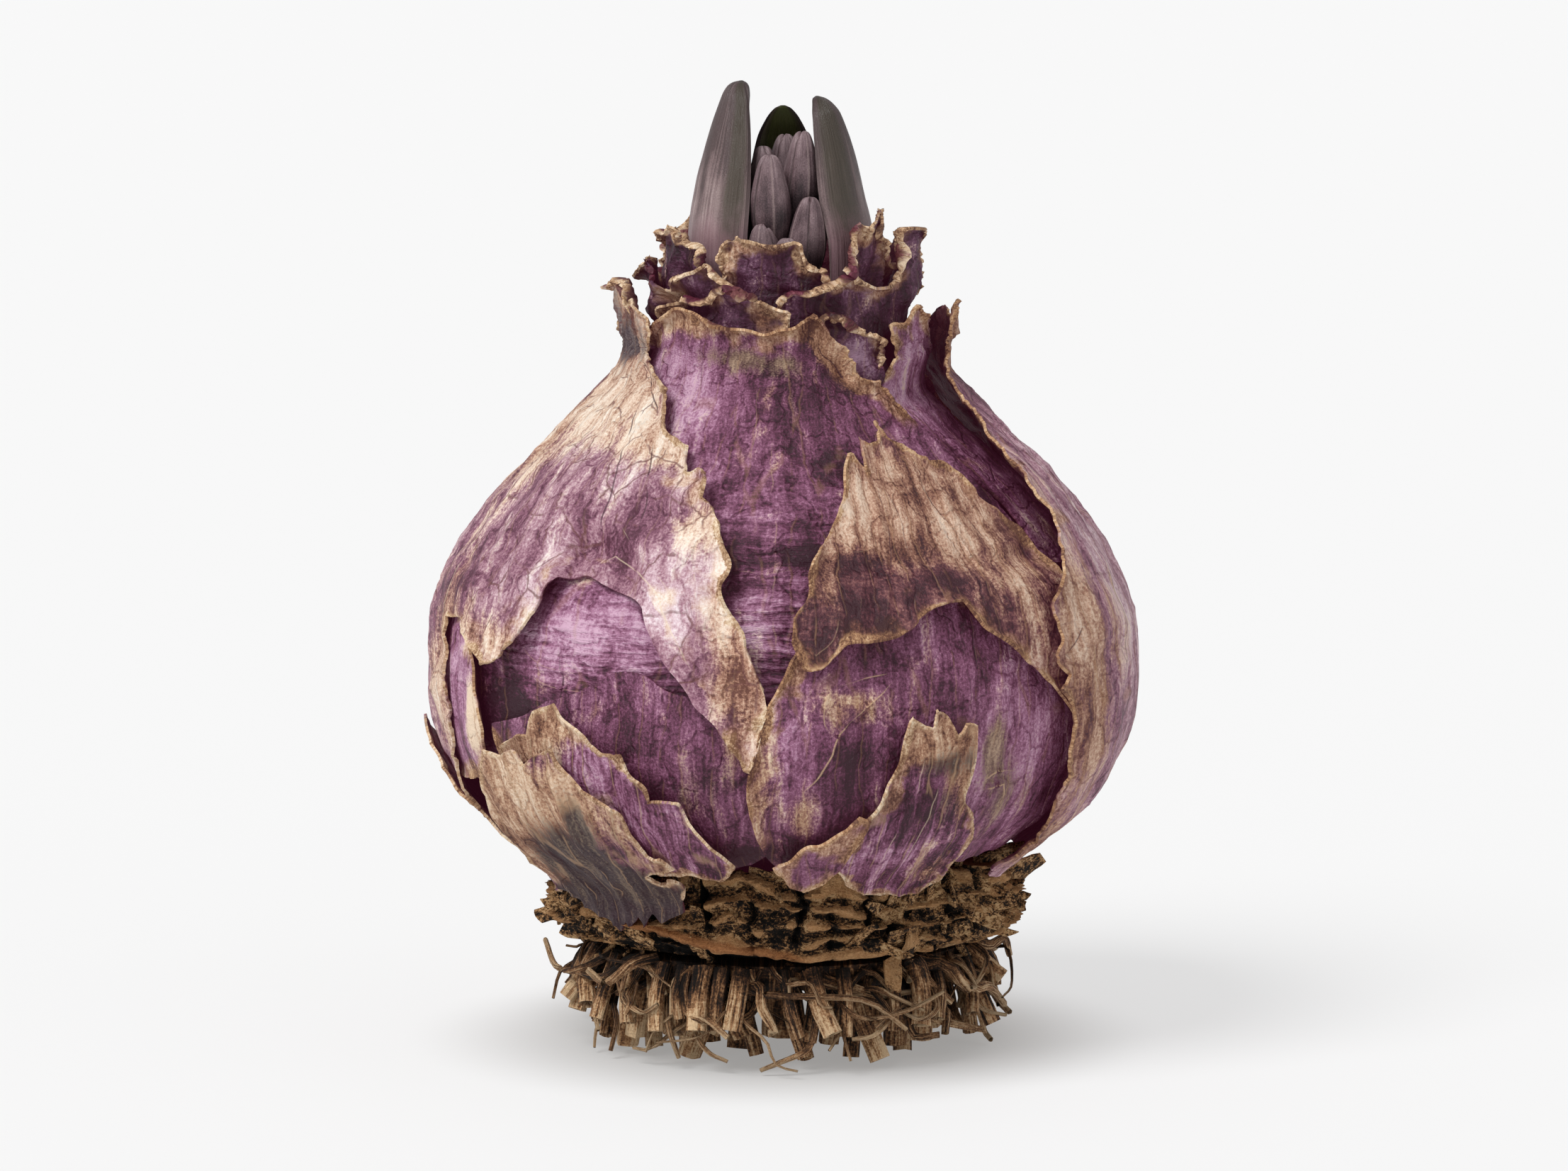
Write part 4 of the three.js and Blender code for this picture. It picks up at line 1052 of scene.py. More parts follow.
# %% Upper right skin
make_skin(
    "upper_right_tunic",
    [15.2, 48.6, 17, 49.4, 19.4, 48.8, 20.8, 48.4, 21, 50.6, 22.6, 50.2, 26.6, 50.3, 27.4, 51.4,
     29, 50.4, 33, 50, 37.6, 49, 43, 48.2, 48, 46.2, 54, 44, 57, 40, 58, 35, 57, 31, 54, 29.8,
     50, 31.6, 46, 33.8, 42, 35.4, 37, 36.8, 33.4, 37.8, 31, 39.3, 28, 39.2, 24, 38.6, 20, 37.6,
     14, 37.1, 10, 37.1, 8, 36.4, 6.4, 35.6, 5, 35.2, 3.4, 35.3, 2.2, 36, 1.2, 37.2, 1.6, 38.8,
     4.2, 40.2, 4.8, 41.8, 7, 43.4, 10.2, 45.2, 13.4, 47],
    lambda a, z: np.maximum(2.2 + crowd(z), 4.0 - ramp(a, 4, 15) * 0.8 - ramp(z, 39, 44) * 1.3),
    brown_paper, seed=6, cell=0.32, ragged=0.2,
    shape={"swell": 0.3, "crumple": 0.16, "ribs": 0.05, "rib_width": 1.7, "roll": 45},
    tone=[[20, 46, 5, 4, 0.08], [16, 47, 2.4, 3, 0.35], [9, 38, 5, 3.5, -0.3], [36, 44, 6, 4, 0.1],
          [25, 43.6, 2.4, 1.2, -0.45], [29, 40, 4, 3, -0.15], [14, 42.8, 5, 1, -0.2],
          [20, 38, 5, 2, 0.05], [46, 36, 4, 5, 0.1]],
    dry=[[24, 48, 8, 3, 1], [36, 45, 7, 4, 0.8], [6, 42, 2, 4, 0.6], [44, 40, 5, 5, 0.5],
         [17, 45, 4, 2.6, 0.7]],
    lifts=[[3, 37, 4, 4, -0.35], [14, 48, 2, 2, 0.35], [24, 37, 5, 1.4, 0.3]],
    lines=[([17, 48, 16, 44, 13, 40, 11, 37], 0.14, -0.4),
           ([21, 49, 20, 44, 18, 40, 15, 37], 0.14, -0.4),
           ([24, 50, 25, 45, 23, 40, 18, 36], -0.1, 0.6),
           ([27, 50, 30, 46, 31, 42, 29, 38], -0.1, 0.6),
           ([31, 49.6, 36, 45, 39, 41, 42, 36], 0.14, -0.4),
           ([36, 49, 43, 44, 47, 39, 50, 34], -0.1, 0.7),
           ([28, 43, 33, 40, 38, 38, 46, 32.5], -0.12, 0.6),
           ([9, 43.9, 14, 43.4, 19, 43.9], 0.3, -0.5), ([10, 41.4, 17, 42, 26, 41.6], 0.16, -0.3),
           ([22, 49, 22, 45, 20, 41, 17, 37], -0.1, 0.7),
           ([33, 49, 37, 44, 39, 40, 40, 36], -0.1, 0.7),
           ([19, 48, 18.4, 44, 16, 40, 13, 36], -0.1, 0.6),
           ([3, 37.4, 5, 36.4, 8, 37.4, 9, 39.4, 7.6, 41.4], 0.2, -0.5)],
)

# %% [markdown]
# The left skin is the largest one. It is cream and tan at the top, where it dries into a twisted
# grey stalk beside the neck, then lilac with brown net veins. Its right edge is torn in steps,
# and at its lower left a tear opens on the pink skin below. The piece that it left inside the
# tear belongs to an inner skin.

# %% Left skins
LEFT_CREASE = np.array([[-46, 38.8], [-43, 41.2], [-34, 41], [-28, 40.4], [-24.6, 39.4],
                        [-22, 37.8], [-19.4, 36], [-15.6, 34], [-11.6, 31.6], [-8, 29.8]])


def near_crease(azimuth, height, reach):
    """1 on the lower edge of the left skin between its tear and its tip, where it lies close."""
    above = height - np.interp(azimuth, *LEFT_CREASE.T)
    between = ramp(azimuth, -46, -42) * (1 - ramp(azimuth, -15, -9))
    return between * (1 - ramp(above, 0.5 * reach, reach))


def left_layer(a, z):
    """The left skin's layer: it lies close along its crease, at its foot and beside its tear."""
    crease = 1.4 * near_crease(a, z, 4) * (1 - ramp(a, -31, -23))
    foot = 0.9 * (1 - ramp(z, 19, 28)) * (1 - ramp(a, -86, -76))
    beside_tear = 0.5 * ramp(a, -88, -78) * (1 - ramp(a, -70, -66))
    tear = beside_tear * ramp(z, 22, 26) * (1 - ramp(z, 36, 39))
    return 3.05 + 0.72 * crowd(z) + 0.9 * ramp(z, 58.5, 65) - crease - foot - tear


make_skin(
    "left_tunic",
    [-150, 20, -132, 17.6, -112, 17.2, -96, 17.8, -84, 19.4, -76, 23, -73.6, 26.4, -71.6, 30,
     -73, 33.6, -73.6, 36.6, -69, 36.8, -63, 35.4, -57, 34, -52.4, 34.6, -49.4, 36.2, -47, 37.2,
     -45.4, 38.8, -44, 41, -41.6, 41.4, -39.6, 41.6, -34, 41, -28, 40.4, -24.6, 39.4, -22, 37.8,
     -19.4, 36, -15.6, 34, -11.6, 31.6, -8, 29.8, -5.4, 28.2, -4, 30, -3.4, 31.4, -2.4, 32.4,
     -3.4, 34.6, -6, 37.2, -8.6, 39, -10.4, 40.6, -9, 42.2, -11.4, 43.8, -12.4, 45, -15.8, 46.4,
     -17.4, 46.6, -18, 48, -20.4, 48.4, -23.6, 48.2, -25.2, 49.2, -26.2, 50, -30, 50.3, -34, 50.8,
     -36, 51.4, -38, 52.3, -40, 53.4, -42, 53.5, -46, 54.2, -54, 56, -60, 57.6, -58, 59.4,
     -57.4, 61, -60, 62.6, -64, 63.6, -67, 63.4, -69, 62, -71, 63.4, -74, 64.8, -81, 65.4, -90, 65,
     -98, 63.4, -104, 59.6, -114, 55, -128, 50, -142, 42, -150, 32],
    left_layer, left_paper, seed=7, cell=0.38, ragged=0.2,
    shape={"swell": 0.5, "crumple": 0.24, "ribs": 0.04, "rib_width": 2.8, "roll": 45,
           "pucker": 0.8, "pucker_from": 54, "lumps": 0.3},
    free=lambda a, z: 1 - near_crease(a, z, 1.6),
    tone=[[-60, 51, 8, 4, 0.2], [-36, 51, 6, 3, 0.2], [-60, 43, 7, 5, -0.02],
          [-5, 34.6, 2, 2.6, -0.4], [-78, 61, 6, 3, -0.3], [-69, 60, 1.2, 3, -0.6],
          [-78, 57.4, 4, 1.6, -0.35], [-63, 60, 3, 3, 0.1], [-68, 36, 4, 5, -0.2],
          [-33, 44, 3, 3, -0.18], [-24, 42, 4, 3, 0.1], [-12, 42, 3, 4, 0.3], [-28, 39, 4, 2, 0.3],
          [-76, 40, 4, 8, -0.08], [-8, 36, 2, 4, -0.15], [-46, 46, 3, 3, -0.12],
          [-110, 40, 14, 12, 0.05], [-52, 39, 4, 3, 0.1]],
    dry=[[-58, 53, 9, 4, 1.2], [-32, 50, 7, 2.4, 1.1], [-84, 49, 8, 6, 0.7], [-15, 45, 3, 3, 0.8],
         [-8, 40, 2, 4, 0.9], [-4, 33, 2.4, 4, 1], [-76, 33, 3, 9, 0.8], [-94, 58, 10, 5, 1],
         [-110, 48, 10, 7, 0.5], [-125, 26, 12, 7, 0.6], [-56, 36, 4, 2, 0.6], [-76, 61, 8, 4, 1]],
    stain=[[-86, 57, 7, 2.4, 1.1], [-76, 60, 6, 3, 0.8], [-100, 60, 6, 3, 0.8]],
    lifts=[[-10, 42, 2.4, 3, 0.3], [-44, 41, 2.4, 1.6, 0.5], [-52, 35, 3, 1.6, 0.3]],
    rolls=[[-80, 65.4, 4, 1.2, 150], [-92, 64.6, 4, 1.4, 120], [-73, 31, 3, 7, -40]],
    lines=[([-63.4, 56.4, -55, 55.4, -50, 53.6, -42, 52.2, -38, 51.2], -0.3, 1),
           ([-69, 62.6, -68, 60, -65, 57.4, -63.4, 56.4], -0.9, 1.2),
           ([-75, 64, -73.6, 60, -73, 56], -0.3, 0.9), ([-84, 64, -81, 60, -78, 56], -0.3, 0.8),
           ([-52, 54, -45, 50, -41, 47, -39, 44, -42, 41.6], -0.16, 1),
           ([-37, 50.4, -33, 48, -30, 45, -28, 41], -0.12, 0.9),
           ([-27, 50, -21, 47, -17, 43.6, -16, 40, -12, 36], -0.08, 0.5),
           ([-57, 53, -50, 49, -46, 46, -44, 43], -0.06, 0.5),
           ([-60, 54, -62, 47, -64, 41, -66, 37], 0.12, -0.5),
           ([-70, 54, -74, 46, -76, 38, -75, 31, -77, 24], 0.14, -0.7),
           ([-80, 52, -86, 44, -88, 34, -86, 22], 0.12, -0.5),
           ([-98, 54, -104, 44, -106, 32, -104, 19], -0.1, 0.7),
           ([-112, 53, -120, 42, -122, 30, -120, 19], 0.1, -0.4),
           ([-128, 47, -134, 38, -136, 28, -132, 19], -0.1, 0.7),
           ([-41, 41.8, -34, 43, -26, 41.6, -19, 38.4, -13, 34], 0.16, -0.7),
           ([-37, 45.4, -30, 43.6, -22, 41.4, -15, 38], 0.12, -0.5),
           ([-18, 45.6, -16, 42, -12, 39, -8, 35], 0.14, -0.6),
           ([-12, 44, -13, 41, -9, 37.4, -6, 33], -0.1, 0.5),
           ([-56, 50, -60, 45, -56, 42], -0.06, 0.6), ([-66, 49, -68, 43, -63, 40], -0.06, 0.5)],
)
make_skin(
    "left_inner_tunic",
    [-78, 38, -83, 31, -81, 25, -70, 24.4, -62, 25.8, -58.8, 29, -60.6, 32.2, -63.4, 35,
     -68, 37.4],
    2.3, purple_paper, seed=8, cell=0.34,
    shape={"roll": 40, "swell": 0.15},
    tone=[[-70, 32, 5, 5, 0.4], [-62, 30, 1.6, 4, 0.3]],
    dry=[[-61.6, 30, 1.6, 4, 1]],
)

# %% [markdown]
# The right skin is a broad lilac cheek. Long veins run down it, and its ragged tan edge stands
# off the front, with a deep shadow behind.

# %% Right skin
def right_layer(a, z):
    """The right skin's layer: its front edge and its top stand off, its foot lies close."""
    front = 0.9 * (1 - ramp(a, 62, 82)) * (1 - ramp(z, 44, 52))
    top = 2.2 * ramp(z, 53, 60) * (1 - ramp(a, 98, 118))
    foot = 0.8 * (1 - ramp(z, 18, 29))
    side_foot = 1.0 * (1 - ramp(z, 17, 25)) * ramp(a, 56, 66) * (1 - ramp(a, 106, 118))
    return 3.3 + 0.6 * crowd(z) + front + top - foot - side_foot


make_skin(
    "right_tunic",
    [80, 62.2, 78, 60, 77, 56, 72.6, 53.4, 69, 51.4, 65, 50.2, 62, 48.4, 58.4, 46.8, 57.4, 45.4,
     58.6, 43.6, 56.4, 41.8, 52, 39.8, 47.4, 38.2, 48.2, 36.4, 46.4, 35, 48.4, 33.8, 46, 32.8,
     48.6, 31.8, 50, 29.8, 49.4, 28.2, 50.6, 26.8, 50.4, 25.4, 52, 23.6, 51, 21.4, 49.4, 19.8,
     52, 18.2, 58, 17.8, 70, 17.6, 88, 17.4, 108, 17.2, 126, 17.6, 138, 22, 144, 32, 142, 42,
     138, 50, 136, 56, 127, 59.6, 114, 60.8, 106, 62, 101, 61.4, 96, 62.6, 90, 62.4, 85, 61.4],
    right_layer, right_paper, seed=9, cell=0.38, ragged=0.22,
    shape={"swell": 0.45, "crumple": 0.2, "ribs": 0.05, "rib_width": 2.4, "roll": 50,
           "pucker": 0.4, "pucker_from": 54, "lumps": 0.25},
    free=lambda a, z: (1 - ramp(a, 104, 114)) * ramp(z, 19, 21),
    tone=[[62, 50, 4, 3, -0.1], [66, 42, 6, 8, 0.12], [60, 30, 5, 6, -0.05], [54, 24, 4, 3, 0.1],
          [90, 40, 12, 12, 0.1], [76, 53, 3, 4, -0.1]],
    dry=[[56, 38, 4, 5, 0.7], [54, 30, 3, 6, 0.8], [54, 21, 5, 3, 0.9], [64, 46, 4, 4, 0.4],
         [82, 58, 5, 4, 0.9], [100, 56, 8, 5, 0.8], [110, 24, 12, 6, 0.6]],
    lines=[([82, 58, 74, 52, 68, 47, 62, 42, 57, 36, 54, 30, 53, 22], 0.1, 0.6),
           ([88, 57, 80, 50, 76, 43, 70, 36, 63, 28, 56, 20], 0.12, 0.7),
           ([72, 52, 66, 48.4, 60, 44], -0.08, 0.5),
           ([50, 38.4, 54, 37, 57, 34.6, 56, 31], 0.12, -0.6),
           ([49, 35, 53, 36, 58, 38.6], -0.12, 0.7),
           ([94, 56, 90, 46, 84, 36, 74, 26, 60, 18], 0.12, -0.4),
           ([98, 50, 97, 40, 94, 30, 88, 18], -0.1, 0.7),
           ([110, 52, 114, 42, 112, 30, 108, 19], 0.1, -0.4),
           ([122, 48, 130, 38, 130, 28, 126, 19], -0.1, 0.7),
           ([62, 24, 56, 20.4, 50, 18.6], 0.16, -0.6), ([66, 34, 62, 28, 56, 23], 0.12, -0.5)],
)

# %% [markdown]
# Stiff flaps stand up from the plate. They are ribbed like palm leaf: tan and broken at the top,
# plum or slate below. The lowest left one runs down over the plate in a grey tail.

# %% Lower flaps
FLAP_SHAPE = {"swell": 0.18, "crumple": 0.08, "ribs": 0.16, "rib_width": 1.9, "roll": 30}
make_skin(
    "lower_left_flap",
    [-66, 16.6, -58, 15.2, -52, 13.8, -46, 13.1, -42.6, 12.2, -41, 13.3, -38.6, 12.8, -36.4, 14.2,
     -34.4, 13.3, -32, 14.8, -29.6, 13.9, -26.6, 14.5, -23.6, 15.6, -22.4, 17.2, -21, 19.2,
     -23, 20, -24.6, 19.2, -26.4, 18.9, -28, 20.2, -25, 20.5, -20.8, 20.9, -22.6, 21.8, -25, 21.9,
     -26.4, 23.6, -27, 25, -30.4, 25.8, -33.4, 26.8, -36.6, 28.2, -38, 29.3, -41.4, 28.7,
     -44.6, 27.8, -46.4, 28.6, -50, 28.2, -54, 28.5, -57, 26.4, -58.4, 24.4, -62, 20.6],
    lambda a, z: 4.25 - 0.5 * (1 - ramp(z, 18, 27)), flap_paper, seed=10, cell=0.32,
    ragged=0.16,
    shape={**FLAP_SHAPE, "roll": 15},
    free=lambda a, z: ramp(z, 15.4, 18),
    tone=[[-42, 26, 8, 3, 0.25], [-32, 22, 4, 3, 0], [-46, 18, 6, 4, -0.05]],
    dry=[[-46, 25, 9, 4.5, 1.1], [-56, 20, 4, 6, 1.2], [-26, 19, 4, 2.4, 0.7],
         [-36, 17.6, 4, 1.6, 0.6]],
    stain=[[-42, 15, 9, 2.6, 2.2], [-29, 16, 7, 3, 2.8], [-43, 21.6, 4, 2.6, 1.1],
           [-35, 19.4, 4, 2, 1.5], [-36, 24, 2, 2, 0.7], [-51, 19, 4, 3, 0.9]],
    lines=[([-52, 28, -50, 22, -46, 16, -42, 12], -0.2, 0.6),
           ([-47, 28, -45, 22, -42, 16, -38, 12], -0.2, 0.6),
           ([-42.6, 28, -41, 22, -38, 16, -34, 12], -0.2, 0.6),
           ([-38, 28.6, -36.6, 23, -34, 17, -31, 12], -0.2, 0.6),
           ([-33, 26.4, -31.6, 22, -29.4, 17, -27, 12.6], -0.2, 0.6),
           ([-29, 25, -27, 21.6, -25, 18], -0.16, 0.5)],
)
make_skin(
    "lower_left_inner_flap",
    [-54, 23.6, -51.6, 28.6, -47.6, 29.4, -44.6, 29.5, -43.4, 31.2, -38.8, 32.2, -37, 31.2,
     -33, 30.3, -30, 29, -26.4, 29, -25, 27.6, -22.6, 26.6, -22.4, 25.6, -17, 25.7, -16.2, 24.4,
     -13.5, 23, -9, 21, -12, 19.8, -24, 19.8, -44, 20.2],
    3.15, flap_paper, seed=11, cell=0.32, ragged=0.16,
    shape={**FLAP_SHAPE, "ribs": 0.08},
    tone=[[-30, 29, 4, 2, 0.3], [-22, 24, 5, 2, 0.12], [-34, 26, 5, 3, 0.2]],
    dry=[[-42, 31, 4, 2.2, 1.2], [-50, 28, 4, 3, 0.9], [-26, 28.4, 2, 1, 0.4]],
    lines=[([-38, 32, -33, 28, -26, 23], -0.12, 0.6), ([-28, 29, -23, 25.4, -16, 21], 0.12, -0.4)],
)
make_skin(
    "lower_left_strip",
    [-92, 28.4, -86.6, 25.6, -80, 24.2, -76, 21.6, -71, 17.6, -70, 14.6, -82, 14.2, -98, 14.8,
     -112, 17, -108, 22, -100, 25.4],
    lambda a, z: 4 - 1.3 * (1 - ramp(z, 18, 28)), flap_paper, seed=12, cell=0.36,
    shape={**FLAP_SHAPE, "ribs": 0.1},
    tone=[[-88, 22, 5, 3, 0.3]],
    dry=[[-78, 18, 6, 3, 1], [-95, 18, 6, 3, 0.8]],
)
make_skin(
    "lower_right_flap",
    [19.8, 31.4, 20.6, 31.9, 23, 31.2, 24, 31, 24.4, 32.2, 26.6, 31.7, 27.6, 30.9, 28.4, 30.1,
     29.2, 30.4, 30, 31, 32, 30.9, 32.3, 28.6, 32, 26.8, 31.8, 25.4, 34.6, 24, 36.2, 22.6,
     35.4, 20.6, 34, 18.6, 30, 17.6, 16, 18.4, 9.6, 20.8, 12.4, 22.6, 13.4, 24, 15.6, 25.2,
     16.8, 26.6, 18.4, 28.2],
    3.1, flap_paper, seed=13, cell=0.3, ragged=0.14,
    shape={**FLAP_SHAPE, "ribs": 0.12},
    tone=[[24, 29.6, 5, 2, 0.12], [20, 22, 5, 2, 0.1], [26, 25, 5, 1.4, -0.2]],
    dry=[[24, 30, 7, 2.2, 1.3], [31.6, 27, 1.6, 3.4, 0.9], [31, 20, 1.6, 2.6, 0.8]],
    stain=[[23, 28, 3, 1.2, 0.6], [29, 28.6, 2.2, 1.4, 0.6], [22, 25.6, 6, 1, 0.5]],
    lines=[([20.6, 30.6, 18.6, 26, 15, 20.6], 0.1, -0.6),
           ([23.6, 30.6, 21.8, 26, 18, 20], 0.1, -0.6),
           ([27, 30.6, 25.6, 26, 22.6, 19.4], 0.1, -0.6),
           ([29.4, 29.4, 28.6, 25, 26.6, 19], 0.1, -0.5),
           ([22, 30.4, 20.4, 26, 16.6, 20.4], -0.16, 0.5),
           ([25.4, 30.6, 23.8, 26, 20.4, 19.8], -0.16, 0.5),
           ([28.4, 29.6, 27.4, 25, 24.8, 19.2], -0.16, 0.5)],
)
make_skin(
    "lower_front_flap",
    [-1.8, 21.8, 1.6, 22.6, 4, 23.4, 6, 23.4, 9, 24, 12.6, 25, 14.8, 24.6, 12.8, 22.8, 9, 20.6,
     4, 19.6],
    lambda a, z: 4.2 - 0.95 * ramp(a, 5, 18), purple_paper, seed=14, cell=0.26,
    ragged=0.12,
    shape={"roll": 40, "swell": 0.1},
    tone=[[6, 23, 4, 2, 0.05]],
)
make_skin(
    "back_left_flap",
    [-150, 15.4, -146, 28, -152, 33.6, -157, 31.8, -164, 35.2, -170, 33, -178, 30, -184, 24,
     -182, 17.2, -168, 15.6],
    3.9, flap_paper, seed=15, cell=0.42, ragged=0.25,
    shape=FLAP_SHAPE,
    dry=[[-160, 30, 9, 5, 1.2]],
    stain=[[-170, 20, 6, 4, 0.7]],
)
make_skin(
    "back_right_flap",
    [144, 16, 170, 15.4, 173, 19, 168, 27, 163, 29.4, 156, 28.4, 150, 31.4, 146.4, 28],
    3.1, flap_paper, seed=16, cell=0.42, ragged=0.25,
    shape=FLAP_SHAPE,
    dry=[[156, 28, 8, 4, 1.2]],
    stain=[[162, 19, 6, 3, 0.6]],
)

# %% [markdown]
# Round the shoot stand the torn tops of the inner skins, each collar higher than the one outside
# it. They have dried into crumpled folds with thick pale rims that roll outwards.

# %% Neck collars
FLARE_HEIGHT = 6
LOWEST_FLARE = 62.9
COLLAR_SHAPE = {"swell": 0.35, "crumple": 0.3, "ribs": 0.06, "rib_width": 0.8, "across": 0.1,
                "roll": 135, "reach": 0.85, "lumps": 0.5, "pucker": 0.3}
COLLARS = {
    # layer at the foot, how far the top stands out, and the outline
    "neck_collar_inner_front": (1.1, 0.5, [-33, 62.4, 26, 62.4, 27, 66.6, 22, 67, 17, 67.2, 13, 68,
        10, 68.9, 5, 69.2, 0, 69, -5, 68.9, -10, 69, -15, 69.2, -19, 69.3, -23, 69.6, -27, 69.2,
        -31, 68.8, -35, 68]),
    "neck_collar_inner_right": (1.1, 0.9, [33, 62.4, 112, 62.4, 114, 67, 98, 69.6, 88, 67.4,
        80, 66.8, 72, 66.8, 67, 68.5, 61, 69.4, 57.6, 70.4, 55, 71.7, 50, 71.6, 47.6, 69.6,
        42, 70.2, 37, 70, 35, 69, 33, 68.2, 32, 67]),
    "neck_collar_inner_left": (1.1, 0.9, [-116, 62.4, -40, 62.4, -40, 67.8, -46, 68.8, -52, 68.8,
        -56, 69.6, -62, 68.9, -66, 69.8, -72, 69.2, -80, 69.6, -90, 68.8, -104, 67.2, -117, 69]),
    "neck_collar_inner_back": (1.1, 0.9, [122, 62.4, 236, 62.4, 238, 68, 220, 70.4, 206, 68.2,
        190, 69.6, 172, 71.4, 158, 69, 144, 70.4, 120, 67.4]),
    "neck_collar_middle_left": (2.1, 1.8, [-108, 60.6, -16, 60.8, -12, 64.6, -17, 65.5, -21, 65.7,
        -26, 66.3, -32, 67.2, -36, 67.5, -41, 66.8, -46, 66.5, -53, 66.1, -59, 66.2, -61.6, 63.8,
        -63.6, 66.4, -66, 67.5, -71, 67.4, -79, 67.2, -88, 66.8, -97, 64.8, -110, 66]),
    "neck_collar_middle_right": (2.2, 1.5, [-6, 60.8, 108, 60.4, 111, 65.4, 104, 64.8, 98, 63.4,
        94, 63.8, 92, 66.4, 89, 68.8, 80, 69.7, 70, 69.8, 62.6, 69.9, 64.4, 68.2, 65.4, 66.8,
        63, 65.5, 59, 65.1, 54, 64.9, 48, 64.9, 44, 65.3, 40, 65.7, 36, 66.4, 31.4, 67.5, 28, 67.2,
        25.6, 66.4, 22, 66, 15.6, 65.6, 8, 65.2, 3, 65.3, -2, 64.8, -6, 64.1]),
    "neck_collar_middle_back": (2.2, 2, [118, 60.6, 244, 60.6, 246, 66, 226, 67.6, 208, 65.4,
        192, 66.8, 170, 68, 152, 66, 136, 67, 116, 65.6]),
    "neck_collar_low_front": (3.05, 1.5, [-70, 58.6, 2, 58.6, 4, 63.1, -2, 63.4, -6, 64.1,
        -10, 65.2, -14, 65.1, -18, 65.7, -23, 66, -28, 65.6, -33, 65.2, -36, 64.5, -41, 64.4,
        -46, 64.9, -50, 64, -54, 63.6, -60, 63.2, -66, 62.6]),
    "neck_collar_low_right": (3.1, 0.3, [13, 60, 18, 59, 22, 57.6, 26, 55.6, 30, 54.6, 36, 54.3,
        41, 55.3, 47, 56.7, 50, 58.2, 51, 59.2, 50.6, 60.3, 44, 61.1, 38, 61.6, 32, 62.4, 27, 63,
        20, 63.3, 16, 63, 13, 62.4]),
}
COLLAR_TONES = {
    "neck_collar_low_right": [[26, 61.6, 7, 1, -0.4], [34, 58.4, 1.6, 3, 0.5],
                              [26, 58, 1.4, 3, 0.1]],
    "neck_collar_middle_right": [[36, 62, 9, 2.4, 0.1]],
    "neck_collar_inner_front": [[-26, 66.4, 3, 2, 0.1]],
    "neck_collar_middle_left": [[-40, 64.4, 5, 1.6, 0.1]],
}


def collar_lift(layer, flare, top):
    """A collar stands off the neck towards its top, sooner at the sides than at the front."""
    low = max(top - FLARE_HEIGHT, LOWEST_FLARE)

    def lift(a, z):
        side = ramp(np.abs(a), 58, 72)
        height = top - low - 3 * side * (top - low > 4)
        start = low - 2.4 * side * (1 - ramp(np.abs(a), 100, 112))
        return (layer + flare * ramp((z - start) / height, 0, 1) * (0.75 + 0.25 * np.sin(a / 4))
                - 0.5 * ramp(z, 58, 55))

    return lift


for seed, (node, (layer, flare, outline)) in enumerate(COLLARS.items(), 20):
    azimuths, heights = pairs(outline).T
    low, top = heights.min(), heights.max()
    middle = sum(azimuths) / len(azimuths)
    # Each collar is painted darker along its foot: painted shade where it goes under the collar
    # outside it
    make_skin(node, outline, collar_lift(layer, flare, top), neck_paper,
              COLLAR_SHAPE, cell=0.2, ragged=0.24, seed=seed,
              tone=[[middle, low, 20, 2.4, -0.35], *COLLAR_TONES.get(node, [])],
              rolls=[[-22, 66, 5, 1.4, 190], [31, 67.4, 5, 1.2, 120]],
              free=lambda a, z, low=low: ramp(z, low + 1.2, low + 2.4))

# %% [markdown]
# The body is the fleshy bulb itself: a turned shape in its own purple skin. Between the outer
# skins it shows dark and satin, and at the neck it closes in shadow. Its outline is drawn once as
# a line of points, and Spin turns it round the axis.

# %% Body
BODY_BOTTOM = 16.7
BODY_TOP = 58
BODY_STEPS = 300
# The radius at which the body's fibres are laid flat
BODY_GIRTH = 22
BODY_TONE = -0.28


def spun(name, outline, steps):
    """Turns a line of [height, radius] points round the axis. Its ends lie on the axis."""
    points = np.array([[radius, 0, height] for height, radius in outline], float)
    piece = new_piece(name, points, [])
    piece.data.edges.add(len(points) - 1)
    starts = np.arange(len(points) - 1)
    piece.data.edges.foreach_set("vertices", np.stack([starts, starts + 1], 1).ravel())
    select_only(piece)
    bpy.ops.object.mode_set(mode="EDIT")
    bpy.ops.mesh.select_all(action="SELECT")
    bpy.ops.mesh.spin(steps=steps, angle=2 * math.pi, center=(0, 0, 0), axis=(0, 0, 1))
    bpy.ops.mesh.select_all(action="SELECT")
    bpy.ops.mesh.remove_doubles(threshold=1e-6)
    face_outwards()
    return piece


def azimuth_of(points):
    return np.degrees(np.arctan2(points[:, 0], -points[:, 1]))


